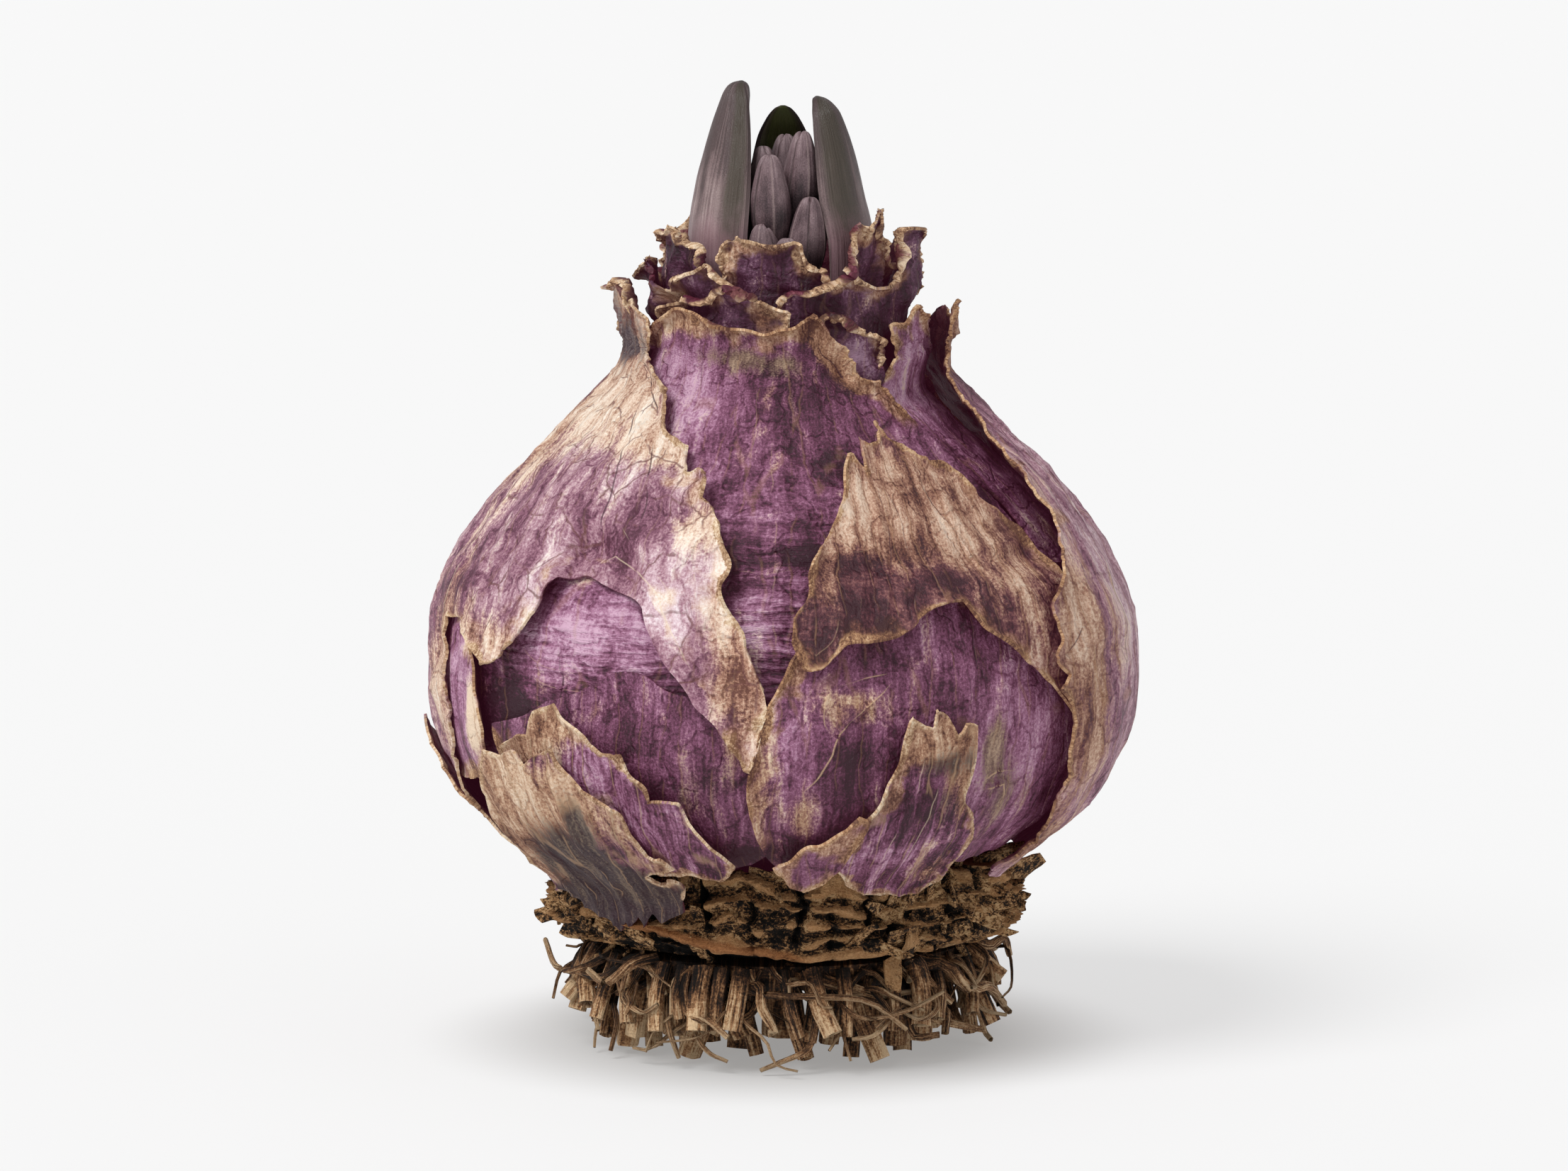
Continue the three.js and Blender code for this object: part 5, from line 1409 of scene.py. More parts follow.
def make_body():
    foot = [[BODY_BOTTOM, 0], [BODY_BOTTOM, 8], [BODY_BOTTOM, 15.4], [18.2, 17.3]]
    heights = np.arange(19.8, BODY_TOP, 0.55)
    side = [[z, float(along(WRAP_PROFILE, z))] for z in heights]
    top = [[BODY_TOP, 8.6], [BODY_TOP, 4], [BODY_TOP, 0]]
    piece = spun("bulb_body_fine", foot + side + top, BODY_STEPS)
    points = points_of(piece)
    azimuth, height = azimuth_of(points), points[:, 2]
    u, v = flattened(azimuth, height, BODY_GIRTH).T
    radius = np.hypot(points[:, 0], points[:, 1])
    relief = 0.14 * fractal(u / 7, v / 9, 400) + 0.05 * fractal(u / 1.2, v / 9, 410)
    relief = (relief - 0.1) * ramp(radius, 12, 16) * ramp(height, 17, 20)
    factor = 1 + relief / np.maximum(radius, 1)
    move_points(piece, points * np.column_stack([factor, factor, np.ones(len(points))]))
    # The body's tone is painted darker towards its foot: painted shade where it curves under to the
    # plate
    add_values(piece, flow=flow_map(u, v), edge=HIDDEN_EDGE, ink=0.0, dry=0.0, stain=0.0, cross=0.0,
               inside=0.0, tone=BODY_TONE - 0.3 * ramp(height, 24, 18))
    hand_in(piece, "bulb_body", purple_paper)


make_body()

# %% [markdown]
# The basal plate is cork: layers of dead tissue, split by cracks across and along, ochre on the
# ridges and black in the pits. A turned shape with many rows gives the room for that relief, and
# the height of each point is kept so that the finish can colour it.

# %% Basal plate
PLATE_STEPS = 460
# The radius at which the plate's relief is laid flat, and the mm of one degree there
PLATE_GIRTH = 18.6
MM_PER_DEGREE = 0.325
ROW_STEP = 0.13
LAYER_HEIGHT = 1.5
CRACK_WIDTH = 0.3
PLATE_ROWS = [
    [9.2, 0], [9.2, 8], [9.2, 12], [9.3, 15], [9.5, 16.6], [10, 17.9], [10.9, 18.8],
    [11.8, 18.6], [12.7, 19.1], [13.6, 18.8], [14.6, 19], [15.5, 18.7], [16.2, 18.5],
]
# Azimuth and height of the lip
LIP = np.array([[-50, 12.8], [-36, 12.2], [-20, 11.2], [-8, 10.5], [12, 9.9], [30, 9.8]])
PLATE_CRACKS = [
    # azimuth, lowest and highest point, depth
    (-62, 10, 17, 0.5), (-36, 9, 16, 0.6), (-21, 12.4, 18, 0.9), (-9, 10, 15, 0.6),
    (4, 11, 18, 0.8), (13, 9, 14, 0.5), (22, 12, 18, 0.6), (31, 9.6, 17, 0.8), (47, 9, 16, 0.6),
    (58, 11, 18, 0.6), (75, 9, 17, 0.6), (92, 10, 16, 0.7), (110, 9, 17, 0.6), (133, 9, 16, 0.7),
    (150, 9, 17, 0.6), (171, 9, 16, 0.6), (196, 9, 17, 0.7), (215, 9, 16, 0.6),
    (238, 9, 17, 0.7), (257, 9, 16, 0.6), (276, 9, 17, 0.6),
]


def lip_height(azimuth):
    """The torn lip runs down the front of the plate from left to right."""
    turned = (azimuth + 180) % 360 - 180
    u = np.radians(turned) * PLATE_GIRTH
    return np.interp(turned, *LIP.T) + 0.3 * fractal(u / 2, u * 0, 540)


def facing(azimuth, towards, low, high):
    """1 on the part of the plate that faces an azimuth, 0 where it turns away."""
    return ramp(np.cos(np.radians(azimuth - towards)), low, high)


def plate_relief(azimuth, height):
    """Height of the cork in mm, over its turned shape."""
    u = np.radians(azimuth) * PLATE_GIRTH
    layers = (height + 1.5 * fractal(u / 4.2, height / 3.4, 500)) / LAYER_HEIGHT
    ridges = np.abs(np.sin(math.pi * layers)) ** 2.5
    kept = ramp(fractal(u / 2.6, np.floor(layers + 0.5) * 0.77, 505, 2), -0.3, 0.1)
    broad = fractal(u / 5.5, height / 3, 508)
    lumps = fractal(u / 1.5, height / 0.9, 510)
    crumbs = fractal(u / 0.55, height / 0.5, 520, 2)
    relief = 1.0 * ridges * kept - 0.4 + 0.35 * broad + 0.3 * (0.6 - 2 * np.abs(lumps))
    relief = relief + 0.2 * crumbs
    for place, low, high, depth in PLATE_CRACKS:
        wander = place + 2.2 * fractal(height / 1.6, height * 0 + place, 530, 2)
        away = np.abs((azimuth - wander + 180) % 360 - 180) * MM_PER_DEGREE
        inside_crack = ramp(height, low - 0.5, low + 0.5) * ramp(height, high + 0.5, high - 0.5)
        relief = relief - 1.5 * depth * bell(away, CRACK_WIDTH) * inside_crack
    above_lip = height - lip_height(azimuth)
    lip = 1.1 * bell(above_lip, 0.45) - 1.3 * ramp(above_lip, -0.4, -1.2)
    return relief + lip * facing(azimuth, -8, 0.72, 0.86)

# %% [markdown]
# The cork finish reads how deep each point lies in a crack and how far out it is: pale tan on the
# lumps, nearly black in the cracks, partly the cork's own colour and partly painted light and
# shade. The scraps on the rim share it.

# %% Cork finish
def plate_finish():
    finish = Finish("cork")
    place = finish.place()
    coarse = finish.bumps(place, (0.5, 0.5, 0.9))
    grit = finish.bumps(place, (4.5, 4.5, 6), 4, 0.65)
    fine = finish.bumps(place, (13, 13, 16), 2)
    specks = finish.bumps(place, (3.4, 3.4, 4.4), 2, 0.75)
    bark = finish.bumps(place, (1.6, 1.6, 0.5))
    relief = finish.attribute("relief")
    # The tone falls with the relief, so the pits are nearly black: partly the cork's own colour,
    # partly painted shade
    tone = 0.64 + relief * 0.6 + specks * 2.4 + fine * 1.1 + coarse * 1.9 + bark * 1.0
    colour = finish.ramp(tone, [
        (0.1, shade(12, 9, 7)), (0.34, shade(44, 34, 26)), (0.56, shade(126, 90, 58)),
        (0.75, shade(190, 142, 94)), (1.0, shade(224, 186, 138))])
    golden = finish.ramp(0.55 + grit * 1.6 + fine * 0.8 + coarse * 0.6,
                         shades((116, 76, 46), (192, 140, 92), (222, 180, 130)))
    # The crests turn golden: partly the cork's own colour, partly painted light on the ridges
    crest_colour_and_light = finish.smooth(relief + coarse * 0.6 + grit * 0.3, 0.08, 0.3)
    colour = finish.mix(colour, golden, crest_colour_and_light * 0.9)
    rust = finish.smooth(finish.attribute("rust") + coarse, 0.3, 0.8)
    rusty = finish.ramp(0.5 + grit * 2 + fine, shades((132, 78, 46), (206, 140, 86)))
    colour = finish.mix(colour, rusty, rust * 0.85)
    height = 0.5 + grit * 1.0 + fine * 0.5 + specks * 1.0
    return finish.surface(colour, 0.85 + fine * 0.3, height, 0.34, Specular_IOR_Level=0.25)


cork = plate_finish()
print("finish of the plate:", cork.name)

# %% [markdown]
# The plate is a turned profile. Each of its points is then moved in or out by the rows of lumps,
# the layers and the cracks.

# %% Turned plate
def model_plate():
    heights = np.arange(9.35, 16.3, ROW_STEP)
    side = [[float(z), float(along(PLATE_ROWS[3:], z))] for z in heights]
    top = [[16.4, 18.2], [16.4, 17.9], [16.4, 17], [16.4, 8], [16.4, 0]]
    piece = spun("basal_plate_fine", PLATE_ROWS[:3] + side + top, PLATE_STEPS)
    points = points_of(piece)
    azimuth, height = azimuth_of(points), points[:, 2]
    radius = np.hypot(points[:, 0], points[:, 1])
    outer = ramp(radius, 14, 16.6)
    bulge = 0.95 * np.maximum(facing(azimuth, 90, 0.55, 1), facing(azimuth, -104, 0.55, 1))
    relief = plate_relief(azimuth, height)
    wanted = radius + outer * (bulge + relief)
    rim = 1.5 * ramp(radius, 17.4, 18.4) * ramp(height, 15.2, 16.3) * facing(azimuth, 5, 0.6, 0.95)
    rim = rim * (0.75 + 0.5 * fractal(np.radians(azimuth) * 18 / 2.4, azimuth * 0, 550))
    scale = wanted / np.maximum(radius, 0.01)
    move_points(piece, np.column_stack([points[:, 0] * scale, points[:, 1] * scale, height + rim]))
    on_lip = bell(height - lip_height(azimuth), 0.6) * facing(azimuth, -22, 0.82, 0.94)
    add_values(piece, relief=relief * outer, rust=on_lip)
    return piece


plate = model_plate()
print("points of the plate:", len(plate.data.vertices))

# %% [markdown]
# Scraps of cork and old skin peel off the plate, most of them at the right. One scrap is modelled
# as a strip with a wall. Copies of it are curled, twisted and set on the plate by a seeded draw,
# with their roots sunk in. A few large ones are listed one by one.

# %% Scraps on the plate
SCRAP_ROWS = 10
SCRAP_WALL = 0.22
# A scrap starts this deep in the cork
SCRAP_ROOT = 0.35
LEAST_BEND = 0.05
SCRAPS_BY_HAND = [
    # azimuth, height, length, width, heading (0 up, 90 right), curl, tone
    (74, 12.4, 5.4, 3, 40, 62, -0.5), (60, 15.4, 3.0, 1.2, 40, 60, 0.1),
    (66, 15.6, 4.2, 2.2, 70, 50, 0.2), (58, 13.6, 4, 2, 100, 40, 0.3),
    (50, 14, 4.4, 2, 130, 60, 0.2), (38, 12.8, 6.6, 2.3, 206, 28, 0.6),
    (52, 15.6, 3.4, 1.6, 240, 50, 0.25),
    (46, 15.2, 3.0, 1.3, 150, 70, 0.3), (76, 12.8, 3.0, 1.5, 120, 80, 0.1),
    (-62, 11.4, 3.4, 1.6, 238, 60, 0.15), (-70, 12.6, 3.0, 1.4, 260, 70, 0.2),
    (-4, 17.2, 2.6, 0.7, 150, 50, 0.4), (-9, 17.4, 2.2, 0.6, 96, 40, 0.35),
]
SEEDED_SCRAPS = 150


def scrap_strip():
    """A strip 1 long and 1 wide, standing up from height 0, as flat rows of points."""
    bpy.ops.object.select_all(action="DESELECT")
    bpy.ops.mesh.primitive_grid_add(x_subdivisions=4, y_subdivisions=SCRAP_ROWS, size=1,
                                    location=(0, 0.5, 0))
    bpy.ops.object.transform_apply(location=True)
    return bpy.context.object


def place_scrap(strip, azimuth, height, length, width, heading, curl, seed):
    """The strip's points on the plate: it lifts off by its curl, in degrees, and twists."""
    across, way = strip[:, 0], strip[:, 1]
    ragged = 1 - 0.45 * way ** 2 + 0.25 * fractal(way * 3, way * 0 + seed, 560)
    x = across * width * ragged
    bend = math.radians(curl) * way
    bow = length / max(math.radians(abs(curl)), LEAST_BEND)
    ahead = bow * np.sin(bend) * np.sign(curl)
    lift = bow * (1 - np.cos(bend)) + 0.25 * length * way
    lift = lift + 0.5 * x * fractal(way * 2, way * 0 + seed, 570) - SCRAP_ROOT
    turn = math.radians(heading)
    u = x * math.cos(turn) + ahead * math.sin(turn)
    v = ahead * math.cos(turn) - x * math.sin(turn)
    surface = along(PLATE_ROWS[3:], np.clip(height + v, 9.4, 16.2))
    return polar(azimuth + np.degrees(u / PLATE_GIRTH), surface + lift, height + v)


def scrap_places():
    """The scraps listed one by one, then the seeded ones: few at the front, most at the right."""
    yield from SCRAPS_BY_HAND
    draw = np.random.default_rng(88)
    for _ in range(SEEDED_SCRAPS):
        azimuth = draw.uniform(18, 342)
        if draw.random() < 0.45:
            azimuth = draw.uniform(30, 95)
        length = 0.9 + 3.2 * draw.random() ** 2
        yield (azimuth, draw.uniform(10, 16.4), length, length * draw.uniform(0.25, 0.6),
               draw.uniform(0, 360), draw.uniform(-30, 90), draw.uniform(-0.3, 0.3))


def make_scraps():
    template = scrap_strip()
    strip = unit_points(template)
    scraps = []
    for seed, (*place, tone) in enumerate(scrap_places()):
        scrap = copy_of(template, "scrap", place_scrap(strip, *place, seed))
        add_values(scrap, relief=-0.1 + 0.5 * tone, rust=0.0)
        give_wall(scrap, SCRAP_WALL)
        keep_in_box(scrap)
        scraps.append(scrap)
    bpy.data.objects.remove(template)
    return scraps


scraps = make_scraps()
joined([plate, *scraps])
hand_in(plate, "basal_plate", cork, 40)
print("scraps on the plate:", len(scraps))

# %% [markdown]
# The roots were trimmed when the bulb was lifted. Most are straight stubs, wrinkled lengthwise
# and cut off blunt. Between them hang thinner, curled ones. One root is modelled: a cylinder with
# rings, its cut end sunk in. Every other one is a copy of it, bent along its own path.

# %% One root
ROOT_SIDES = 10
ROOT_RINGS = 12


def model_rod(sides, rings):
    """A closed rod of radius 1 from height 0 to 1. Its end face stays selected, in edit mode."""
    bpy.ops.object.select_all(action="DESELECT")
    bpy.ops.mesh.primitive_circle_add(vertices=sides, radius=1, fill_type="NGON")
    bpy.ops.object.mode_set(mode="EDIT")
    bpy.ops.mesh.select_all(action="SELECT")
    for _ in range(rings):
        bpy.ops.mesh.extrude_region_move(TRANSFORM_OT_translate={"value": (0, 0, 1 / rings)})
    return bpy.context.object


def model_root():
    piece = model_rod(ROOT_SIDES, ROOT_RINGS)
    bpy.ops.mesh.inset(thickness=0.32)
    bpy.ops.transform.translate(value=(0, 0, -0.04))
    bpy.ops.mesh.inset(thickness=0.3)
    face_outwards()
    return piece


def bent_path(corners, t):
    """Points and directions along a smooth path through the corners, at shares t."""
    corners = np.array(corners, float)
    way = np.concatenate([[0], np.cumsum(np.linalg.norm(np.diff(corners, axis=0), axis=1))])
    way = way / way[-1]

    def at(share):
        return np.stack([along(np.column_stack([way, axis]), share) for axis in corners.T], 1)

    ahead = at(np.clip(t + 0.02, 0, 1)) - at(np.clip(t - 0.02, 0, 1))
    return at(t), ahead / np.linalg.norm(ahead, axis=1)[:, None]


def bend_root(rod, corners, radius, taper, wrinkle, seed):
    """The rod's points, moved along a path. Also gives their place on the root's bark, and 1
    for the points of the cut end."""
    t = np.clip(rod[:, 2], 0, 1)
    turn = np.arctan2(rod[:, 1], rod[:, 0])
    share = np.hypot(rod[:, 0], rod[:, 1])
    middle, ahead = bent_path(corners, t)
    reference = polar(azimuth_of(np.array([corners[0]]))[0] + 90, 1, 0.0)
    if np.hypot(*corners[0][:2]) < 0.5:
        reference = np.array([1.0, 0, 0])
    side = np.cross(ahead, reference)
    side = side / np.linalg.norm(side, axis=1)[:, None]
    other = np.cross(ahead, side)
    folds = wrinkle * (np.cos(3 * turn + seed) + 0.6 * np.cos(5 * turn + 2.1 * seed + 2 * t))
    knots = 0.5 * wrinkle * fractal(t * 6, seed + 0 * t, 600)
    size = radius * (1 - taper * t) * share * (1 + folds + knots)
    points = middle + size[:, None] * (np.cos(turn)[:, None] * side + np.sin(turn)[:, None] * other)
    length = np.linalg.norm(np.diff(np.array(corners, float), axis=0), axis=1).sum()
    round_way, way = turn * 1.2 + seed * 3.7, t * length + seed * 5.1
    bark = np.column_stack([round_way, way, np.full(len(t), seed)])
    return points, bark, np.where(share < 0.75, 1.0, 0) * (rod[:, 2] > 0.9)


print("sides and rings of a root:", ROOT_SIDES, ROOT_RINGS)

# %% [markdown]
# The root finish runs along each root: tan bark with fine wrinkles and dark patches, and a
# darker cut end.

# %% Root finish
def root_finish():
    finish = Finish("dried_root")
    bark = finish.attribute("flow", "Vector")
    lengthwise = finish.bumps(bark, (1.9, 0.22), 4, 0.65, 0.3)
    patches = finish.bumps(bark, (0.4, 0.35))
    grit = finish.bumps(bark, (3.5, 5), 3, 0.65)
    rings = finish.bumps(bark, (0.3, 2.4), 3, 0.6, 0.4)
    tone = (finish.attribute("tone") + 0.5 + lengthwise * 2.0 + patches * 1.2 + grit * 0.9
            + rings * 0.5)
    colour = finish.ramp(tone, [
        (0.05, shade(18, 11, 7)), (0.3, shade(62, 40, 26)), (0.52, shade(124, 86, 56)),
        (0.75, shade(180, 136, 96)), (1.0, shade(222, 190, 150))])
    colour = finish.mix(colour, shade(44, 30, 20), finish.attribute("cut") * 0.65)
    height = 0.5 + lengthwise * 1.8 + grit * 0.8 + rings * 0.7
    return finish.surface(colour, 0.8 + grit * 0.3, height, 0.22, Specular_IOR_Level=0.3)


dried_root = root_finish()
print("finish of the roots:", dried_root.name)

# %% [markdown]
# The stubs stand in rings under the plate and lean outwards more towards the rim. The front
# ones and the most visible curls are listed one by one, the others are seeded. The tuft rests on
# the cut ends, so nothing goes below the floor.

# %% Root tuft
ROOT_TOP = 8.6
FLOOR_CLEARANCE = 0.02
# Radius of the ring that the front roots start from
FRONT_START = 16.3
# Height and radius of the callus, the pad under the plate that all roots grow from
CALLUS = [[6.2, 0], [6.2, 12], [6.6, 14.6], [7.6, 15.8], [8.9, 16.2], [8.9, 8], [8.9, 0]]
CALLUS_STEPS = 96
STUB_RINGS = [
    # how many, start radius, end radius, thickness, lowest and highest end, free front half-angle
    (28, 15.9, 18.2, 1.0, 1.8, 4.6, 62), (30, 14.0, 15.8, 0.95, 0.6, 3.2, 0),
    (22, 11.2, 12.6, 1.0, 0.0, 0.9, 0), (12, 6.8, 7.8, 1.0, 0.0, 0.6, 0),
]
FRONT_ROOTS = [
    # x at the top, x at the foot, height and reach of the foot, thickness, tone
    (-6.5, -7.1, 3.6, 18.4, 0.95, 0.2), (-5.0, -5.6, 3.7, 18.0, 0.68, -0.05),
    (-3.4, -4.3, 3.8, 18.2, 0.8, 0.15), (0.0, 1.3, 3.2, 17.6, 0.5, -0.1),
    (2.2, 4.2, 3.6, 18.6, 0.9, 0.25), (5.0, 5.3, 3.2, 17.8, 0.6, 0.0),
    (8.8, 9.3, 3.4, 18.2, 0.6, 0.0), (10.9, 11.4, 3.6, 18.3, 0.85, 0.15),
    (12.6, 13.1, 3.9, 18.4, 0.5, 0.0), (15.0, 16.0, 3.6, 18.4, 0.6, 0.05),
    (15.6, 18.5, 6.0, 19.3, 0.85, 0.2), (-15.4, -18.3, 4.4, 19.2, 0.8, 0.3),
    (-12.3, -13.0, 3.5, 18.2, 0.7, 0.15), (-9.9, -10.6, 3.2, 18.2, 0.75, 0.2),
    (-13.8, -15.6, 3.4, 18.6, 0.7, 0.1), (-8.3, -8.6, 4.4, 17.8, 0.5, -0.1),
]
CURLED_ROOTS = [
    # path as azimuth, radius and height, then thickness
    ([(-40, 16.4, 9), (-43, 18.7, 8.6), (-50, 19.4, 6.9), (-56, 19.7, 7.7)], 0.5),
    ([(-60, 16.6, 8.6), (-66, 19.0, 7.1), (-76, 19.8, 6.9), (-84, 20.3, 8.7)], 0.36),
    ([(-36, 16.4, 6), (-33, 17.6, 3.8), (-31, 17.8, 2.4), (-30, 17.4, 1.0)], 0.36),
    ([(-27, 16.2, 5), (-24, 17.8, 3.2), (-20, 18.0, 1.8), (-15, 17.8, 1.1)], 0.28),
    ([(10, 16.4, 5), (7, 17.8, 2.4), (-1, 18.1, 1.2), (-6, 18.0, 0.5)], 0.34),
    ([(14, 16.8, 6.6), (20, 18.9, 4.9), (33, 19.1, 5.2), (44, 19.3, 6.4)], 0.26),
    ([(66, 17.4, 9.4), (63, 19.3, 8.4), (60, 19.2, 6.9), (55, 19.0, 5.8)], 0.3),
    ([(-50, 16.4, 7), (-46, 18.6, 5.6), (-38, 18.9, 4.8), (-34, 18.6, 5.6)], 0.34),
    ([(26, 16.6, 7), (29, 18.4, 4.8), (24, 18.9, 3.4), (18, 18.6, 3.1)], 0.28),
    ([(47, 16.6, 7), (43, 18.9, 5.0), (37, 19.1, 4.3), (33, 18.7, 4.9)], 0.28),
]
SEEDED_CURLS = 150
REST_STUB_RADIUS = 1.7


def stub_paths(draw):
    for count, start, end, thick, low, high, free_front in STUB_RINGS:
        for i in range(count):
            azimuth = 360 * i / count + draw.uniform(-5, 5)
            lean, bow = draw.uniform(-9, 9), draw.uniform(-0.5, 0.7)
            reach, foot = end + draw.uniform(-0.7, 0.7), draw.uniform(low, high)
            thickness, tone = thick * draw.uniform(0.6, 1.15), draw.uniform(-0.2, 0.2)
            if min(azimuth, 360 - azimuth) < free_front:
                continue
            middle_radius, middle_height = (start + reach) / 2 + bow, (ROOT_TOP + foot) / 2
            corners = [polar(azimuth, start - 0.4, ROOT_TOP),
                       polar(azimuth + lean * 0.3, middle_radius, middle_height),
                       polar(azimuth + lean, reach, foot)]
            yield corners, thickness, 0.12, 0.13, tone


def front_paths():
    for x_top, x_foot, foot, reach, thickness, tone in FRONT_ROOTS:
        start = math.degrees(math.asin(x_top / FRONT_START))
        end = math.degrees(math.asin(x_foot / reach))
        corners = [polar(start, FRONT_START, ROOT_TOP),
                   polar(start * 0.6 + end * 0.4, 17.6, (ROOT_TOP + foot) / 2),
                   polar(end, reach, foot)]
        yield corners, thickness, 0.06, 0.12, tone


def curl_paths(draw):
    for path, thickness in CURLED_ROOTS:
        yield [polar(*place) for place in path], thickness, 0.45, 0.12, 0.25
    for i in range(SEEDED_CURLS):
        azimuth = 360 * i / SEEDED_CURLS + draw.uniform(-5, 5)
        radius, height = draw.uniform(14.6, 16.6), ROOT_TOP
        corners = [polar(azimuth, radius, height)]
        heading = draw.uniform(-7, 7)
        for _ in range(draw.integers(3, 6)):
            heading = heading + draw.uniform(-8, 8)
            azimuth = azimuth + heading * 0.7
            radius = min(radius + draw.uniform(0, 1.3), 19.6)
            height = max(height - draw.uniform(-0.3, 2.5), 0.5)
            corners.append(polar(azimuth, radius, height))
        yield corners, 0.16 + 0.42 * draw.random() ** 1.6, 0.45, 0.14, draw.uniform(-0.15, 0.35)


def root_paths():
    """Every root: corners of its path, radius, taper, wrinkle depth and tone."""
    draw = np.random.default_rng(77)
    yield [(0, 0, 7.6), (0, 0, 4), (0, 0, 0)], REST_STUB_RADIUS, 0.0, 0.05, 0.0
    yield from stub_paths(draw)
    yield from front_paths()
    yield from curl_paths(draw)


def make_roots():
    template = model_root()
    rod = unit_points(template)
    callus = spun("root_tuft_fine", CALLUS, CALLUS_STEPS)
    add_values(callus, flow=points_of(callus)[:, [0, 2, 1]], tone=-0.3, cut=0.0)
    # Each root is painted darker near the plate and paler towards its foot: painted shade under the
    # plate
    painted_shade_near_plate = 0.75 * (np.clip(rod[:, 2], 0, 1) - 0.5)
    grown = [callus]
    for seed, (*path, tone) in enumerate(root_paths(), 1):
        points, bark, cut = bend_root(rod, *path, seed)
        points[:, 2] = np.maximum(points[:, 2], FLOOR_CLEARANCE if seed > 1 else 0)
        root = copy_of(template, "root", points)
        add_values(root, flow=bark, tone=tone - 0.1 + painted_shade_near_plate, cut=cut)
        grown.append(root)
    bpy.data.objects.remove(template)
    joined(grown)
    hand_in(callus, "root_tuft", dried_root, 60)
    print("roots:", len(grown) - 1)


make_roots()

# %% [markdown]
# Three leaves stand round the florets. Each is a thick crescent in section that narrows to a
# blunt tip. A rod with many rings is pulled onto those sections, ring by ring.

# %% Leaves
LEAF_SIDES = 72
LEAF_RINGS = 70
# Above 1, this power sets the rings closer together towards the tip
TIP_CROWDING = 1.6
LEAF_COLOURS = shades((74, 58, 58), (120, 100, 100), (156, 137, 135), (192, 176, 172))
LEAVES = {
    # azimuth, and stations: height, chord distance, half width, outer bulge, inner bulge
    "leaf_left": (-80, [
        [58.3, 3.7, 4.4, 3.9, 1.9], [68, 3.9, 4.9, 4.2, 2], [73, 3.5, 4.3, 3.9, 1.6],
        [77, 3.3, 3.3, 3, 0.6], [80, 3.3, 2.2, 2, -0.3], [81, 3.4, 1.4, 1.4, -0.5],
        [81.4, 3.4, 0.8, 0.9, -0.3], [81.55, 3.4, 0.2, 0.3, 0]]),
    "leaf_right": (78, [
        [58.3, 4.9, 4.2, 2.6, 1], [68, 4.9, 4.7, 2.8, 1.1], [72, 4, 4.3, 2.9, 1],
        [76, 3.4, 3.2, 2.5, 0.4], [78.8, 3, 2.2, 1.9, -0.2], [79.7, 2.9, 1.4, 1.3, -0.3],
        [80.1, 2.8, 0.8, 0.8, -0.2], [80.25, 2.8, 0.2, 0.3, 0]]),
    "leaf_back": (180, [
        [58.3, 4.1, 2.7, 2.6, 1.1], [68, 4.1, 2.9, 2.6, 1.2], [73, 3.6, 2.8, 2.4, 1],
        [76.4, 2.6, 2.2, 2, 0.6], [78.2, 1.6, 1.4, 1.4, 0], [79.1, 0.9, 0.7, 0.8, -0.1],
        [79.35, 0.8, 0.2, 0.2, -0.1]]),
}


def leaf_finish(name, stripe_colour):
    finish = Finish(name)
    flow = finish.attribute("flow", "Vector")
    lines = finish.bumps(flow, (4.2, 0.1))
    broad = finish.bumps(flow, (0.9, 0.1), 2, 0.5)
    clouds = finish.bumps(flow, (0.5, 0.3))
    grain = finish.bumps(flow, (9, 7), 2)
    tone = 0.5 + lines * 0.9 + broad * 0.8 + clouds * 0.7 + grain * 0.45 + finish.attribute("tone")
    colour = finish.ramp(tone, LEAF_COLOURS)
    stripe = finish.smooth(finish.attribute("stripe") + lines * 0.5 + clouds * 0.6, 0.25, 0.8)
    colour = finish.mix(colour, stripe_colour, stripe * 0.85)
    blush = finish.smooth(finish.attribute("blush") + clouds * 0.8, 0.2, 0.9)
    colour = finish.mix(colour, shade(150, 112, 122), blush * 0.5)
    height = 0.5 + lines * 1.6 + grain * 0.4
    return finish.surface(colour, 0.42 + grain * 0.2, height, 0.07, Specular_IOR_Level=0.5)


def make_leaf(node, azimuth, stations, material, stripe_at, shade_by, seed):
    piece = model_rod(LEAF_SIDES, LEAF_RINGS)
    face_outwards()
    piece.name = node + "_fine"
    rod = unit_points(piece)
    stations = np.array(stations)
    t = 1 - (1 - np.clip(rod[:, 2], 0, 1)) ** TIP_CROWDING
    height = stations[0, 0] + (stations[-1, 0] - stations[0, 0]) * t
    turn = np.arctan2(rod[:, 1], rod[:, 0])
    chord, half, outer, inner = (along(stations[:, [0, k]], height) for k in (1, 2, 3, 4))
    across = -half * np.cos(turn)
    bulge = np.where(np.sin(turn) >= 0, outer, inner) * np.abs(np.sin(turn))
    bulge = bulge + 0.12 * fractal(across / 2.4, height / 6, seed) * np.sin(turn)
    outward, sideways = polar(azimuth, 1.0, 0.0), polar(azimuth + 90, 1.0, 0.0)
    points = (chord + bulge)[:, None] * outward + across[:, None] * sideways
    points[:, 2] = height
    move_points(piece, points)
    select_only(piece)
    bpy.ops.object.mode_set(mode="EDIT")
    face_outwards()
    round_way = np.where(np.sin(turn) >= 0, 1, -1) * (turn % math.pi) * 4
    middle, wide = stripe_at
    # Each leaf's tone is darker at the tip, and painted darker towards its foot as painted shade
    # inside the collars
    add_values(piece, flow=flow_map(round_way, height),
               stripe=bell(np.degrees(turn) - middle, wide),
               tone=shade_by - 0.5 * ramp(height, 70, 79) - 0.35 * ramp(height, 70, 62),
               blush=ramp(height, 74, 66) * (np.sin(turn) > 0))
    keep_in_box(piece)
    hand_in(piece, node, material, 60)


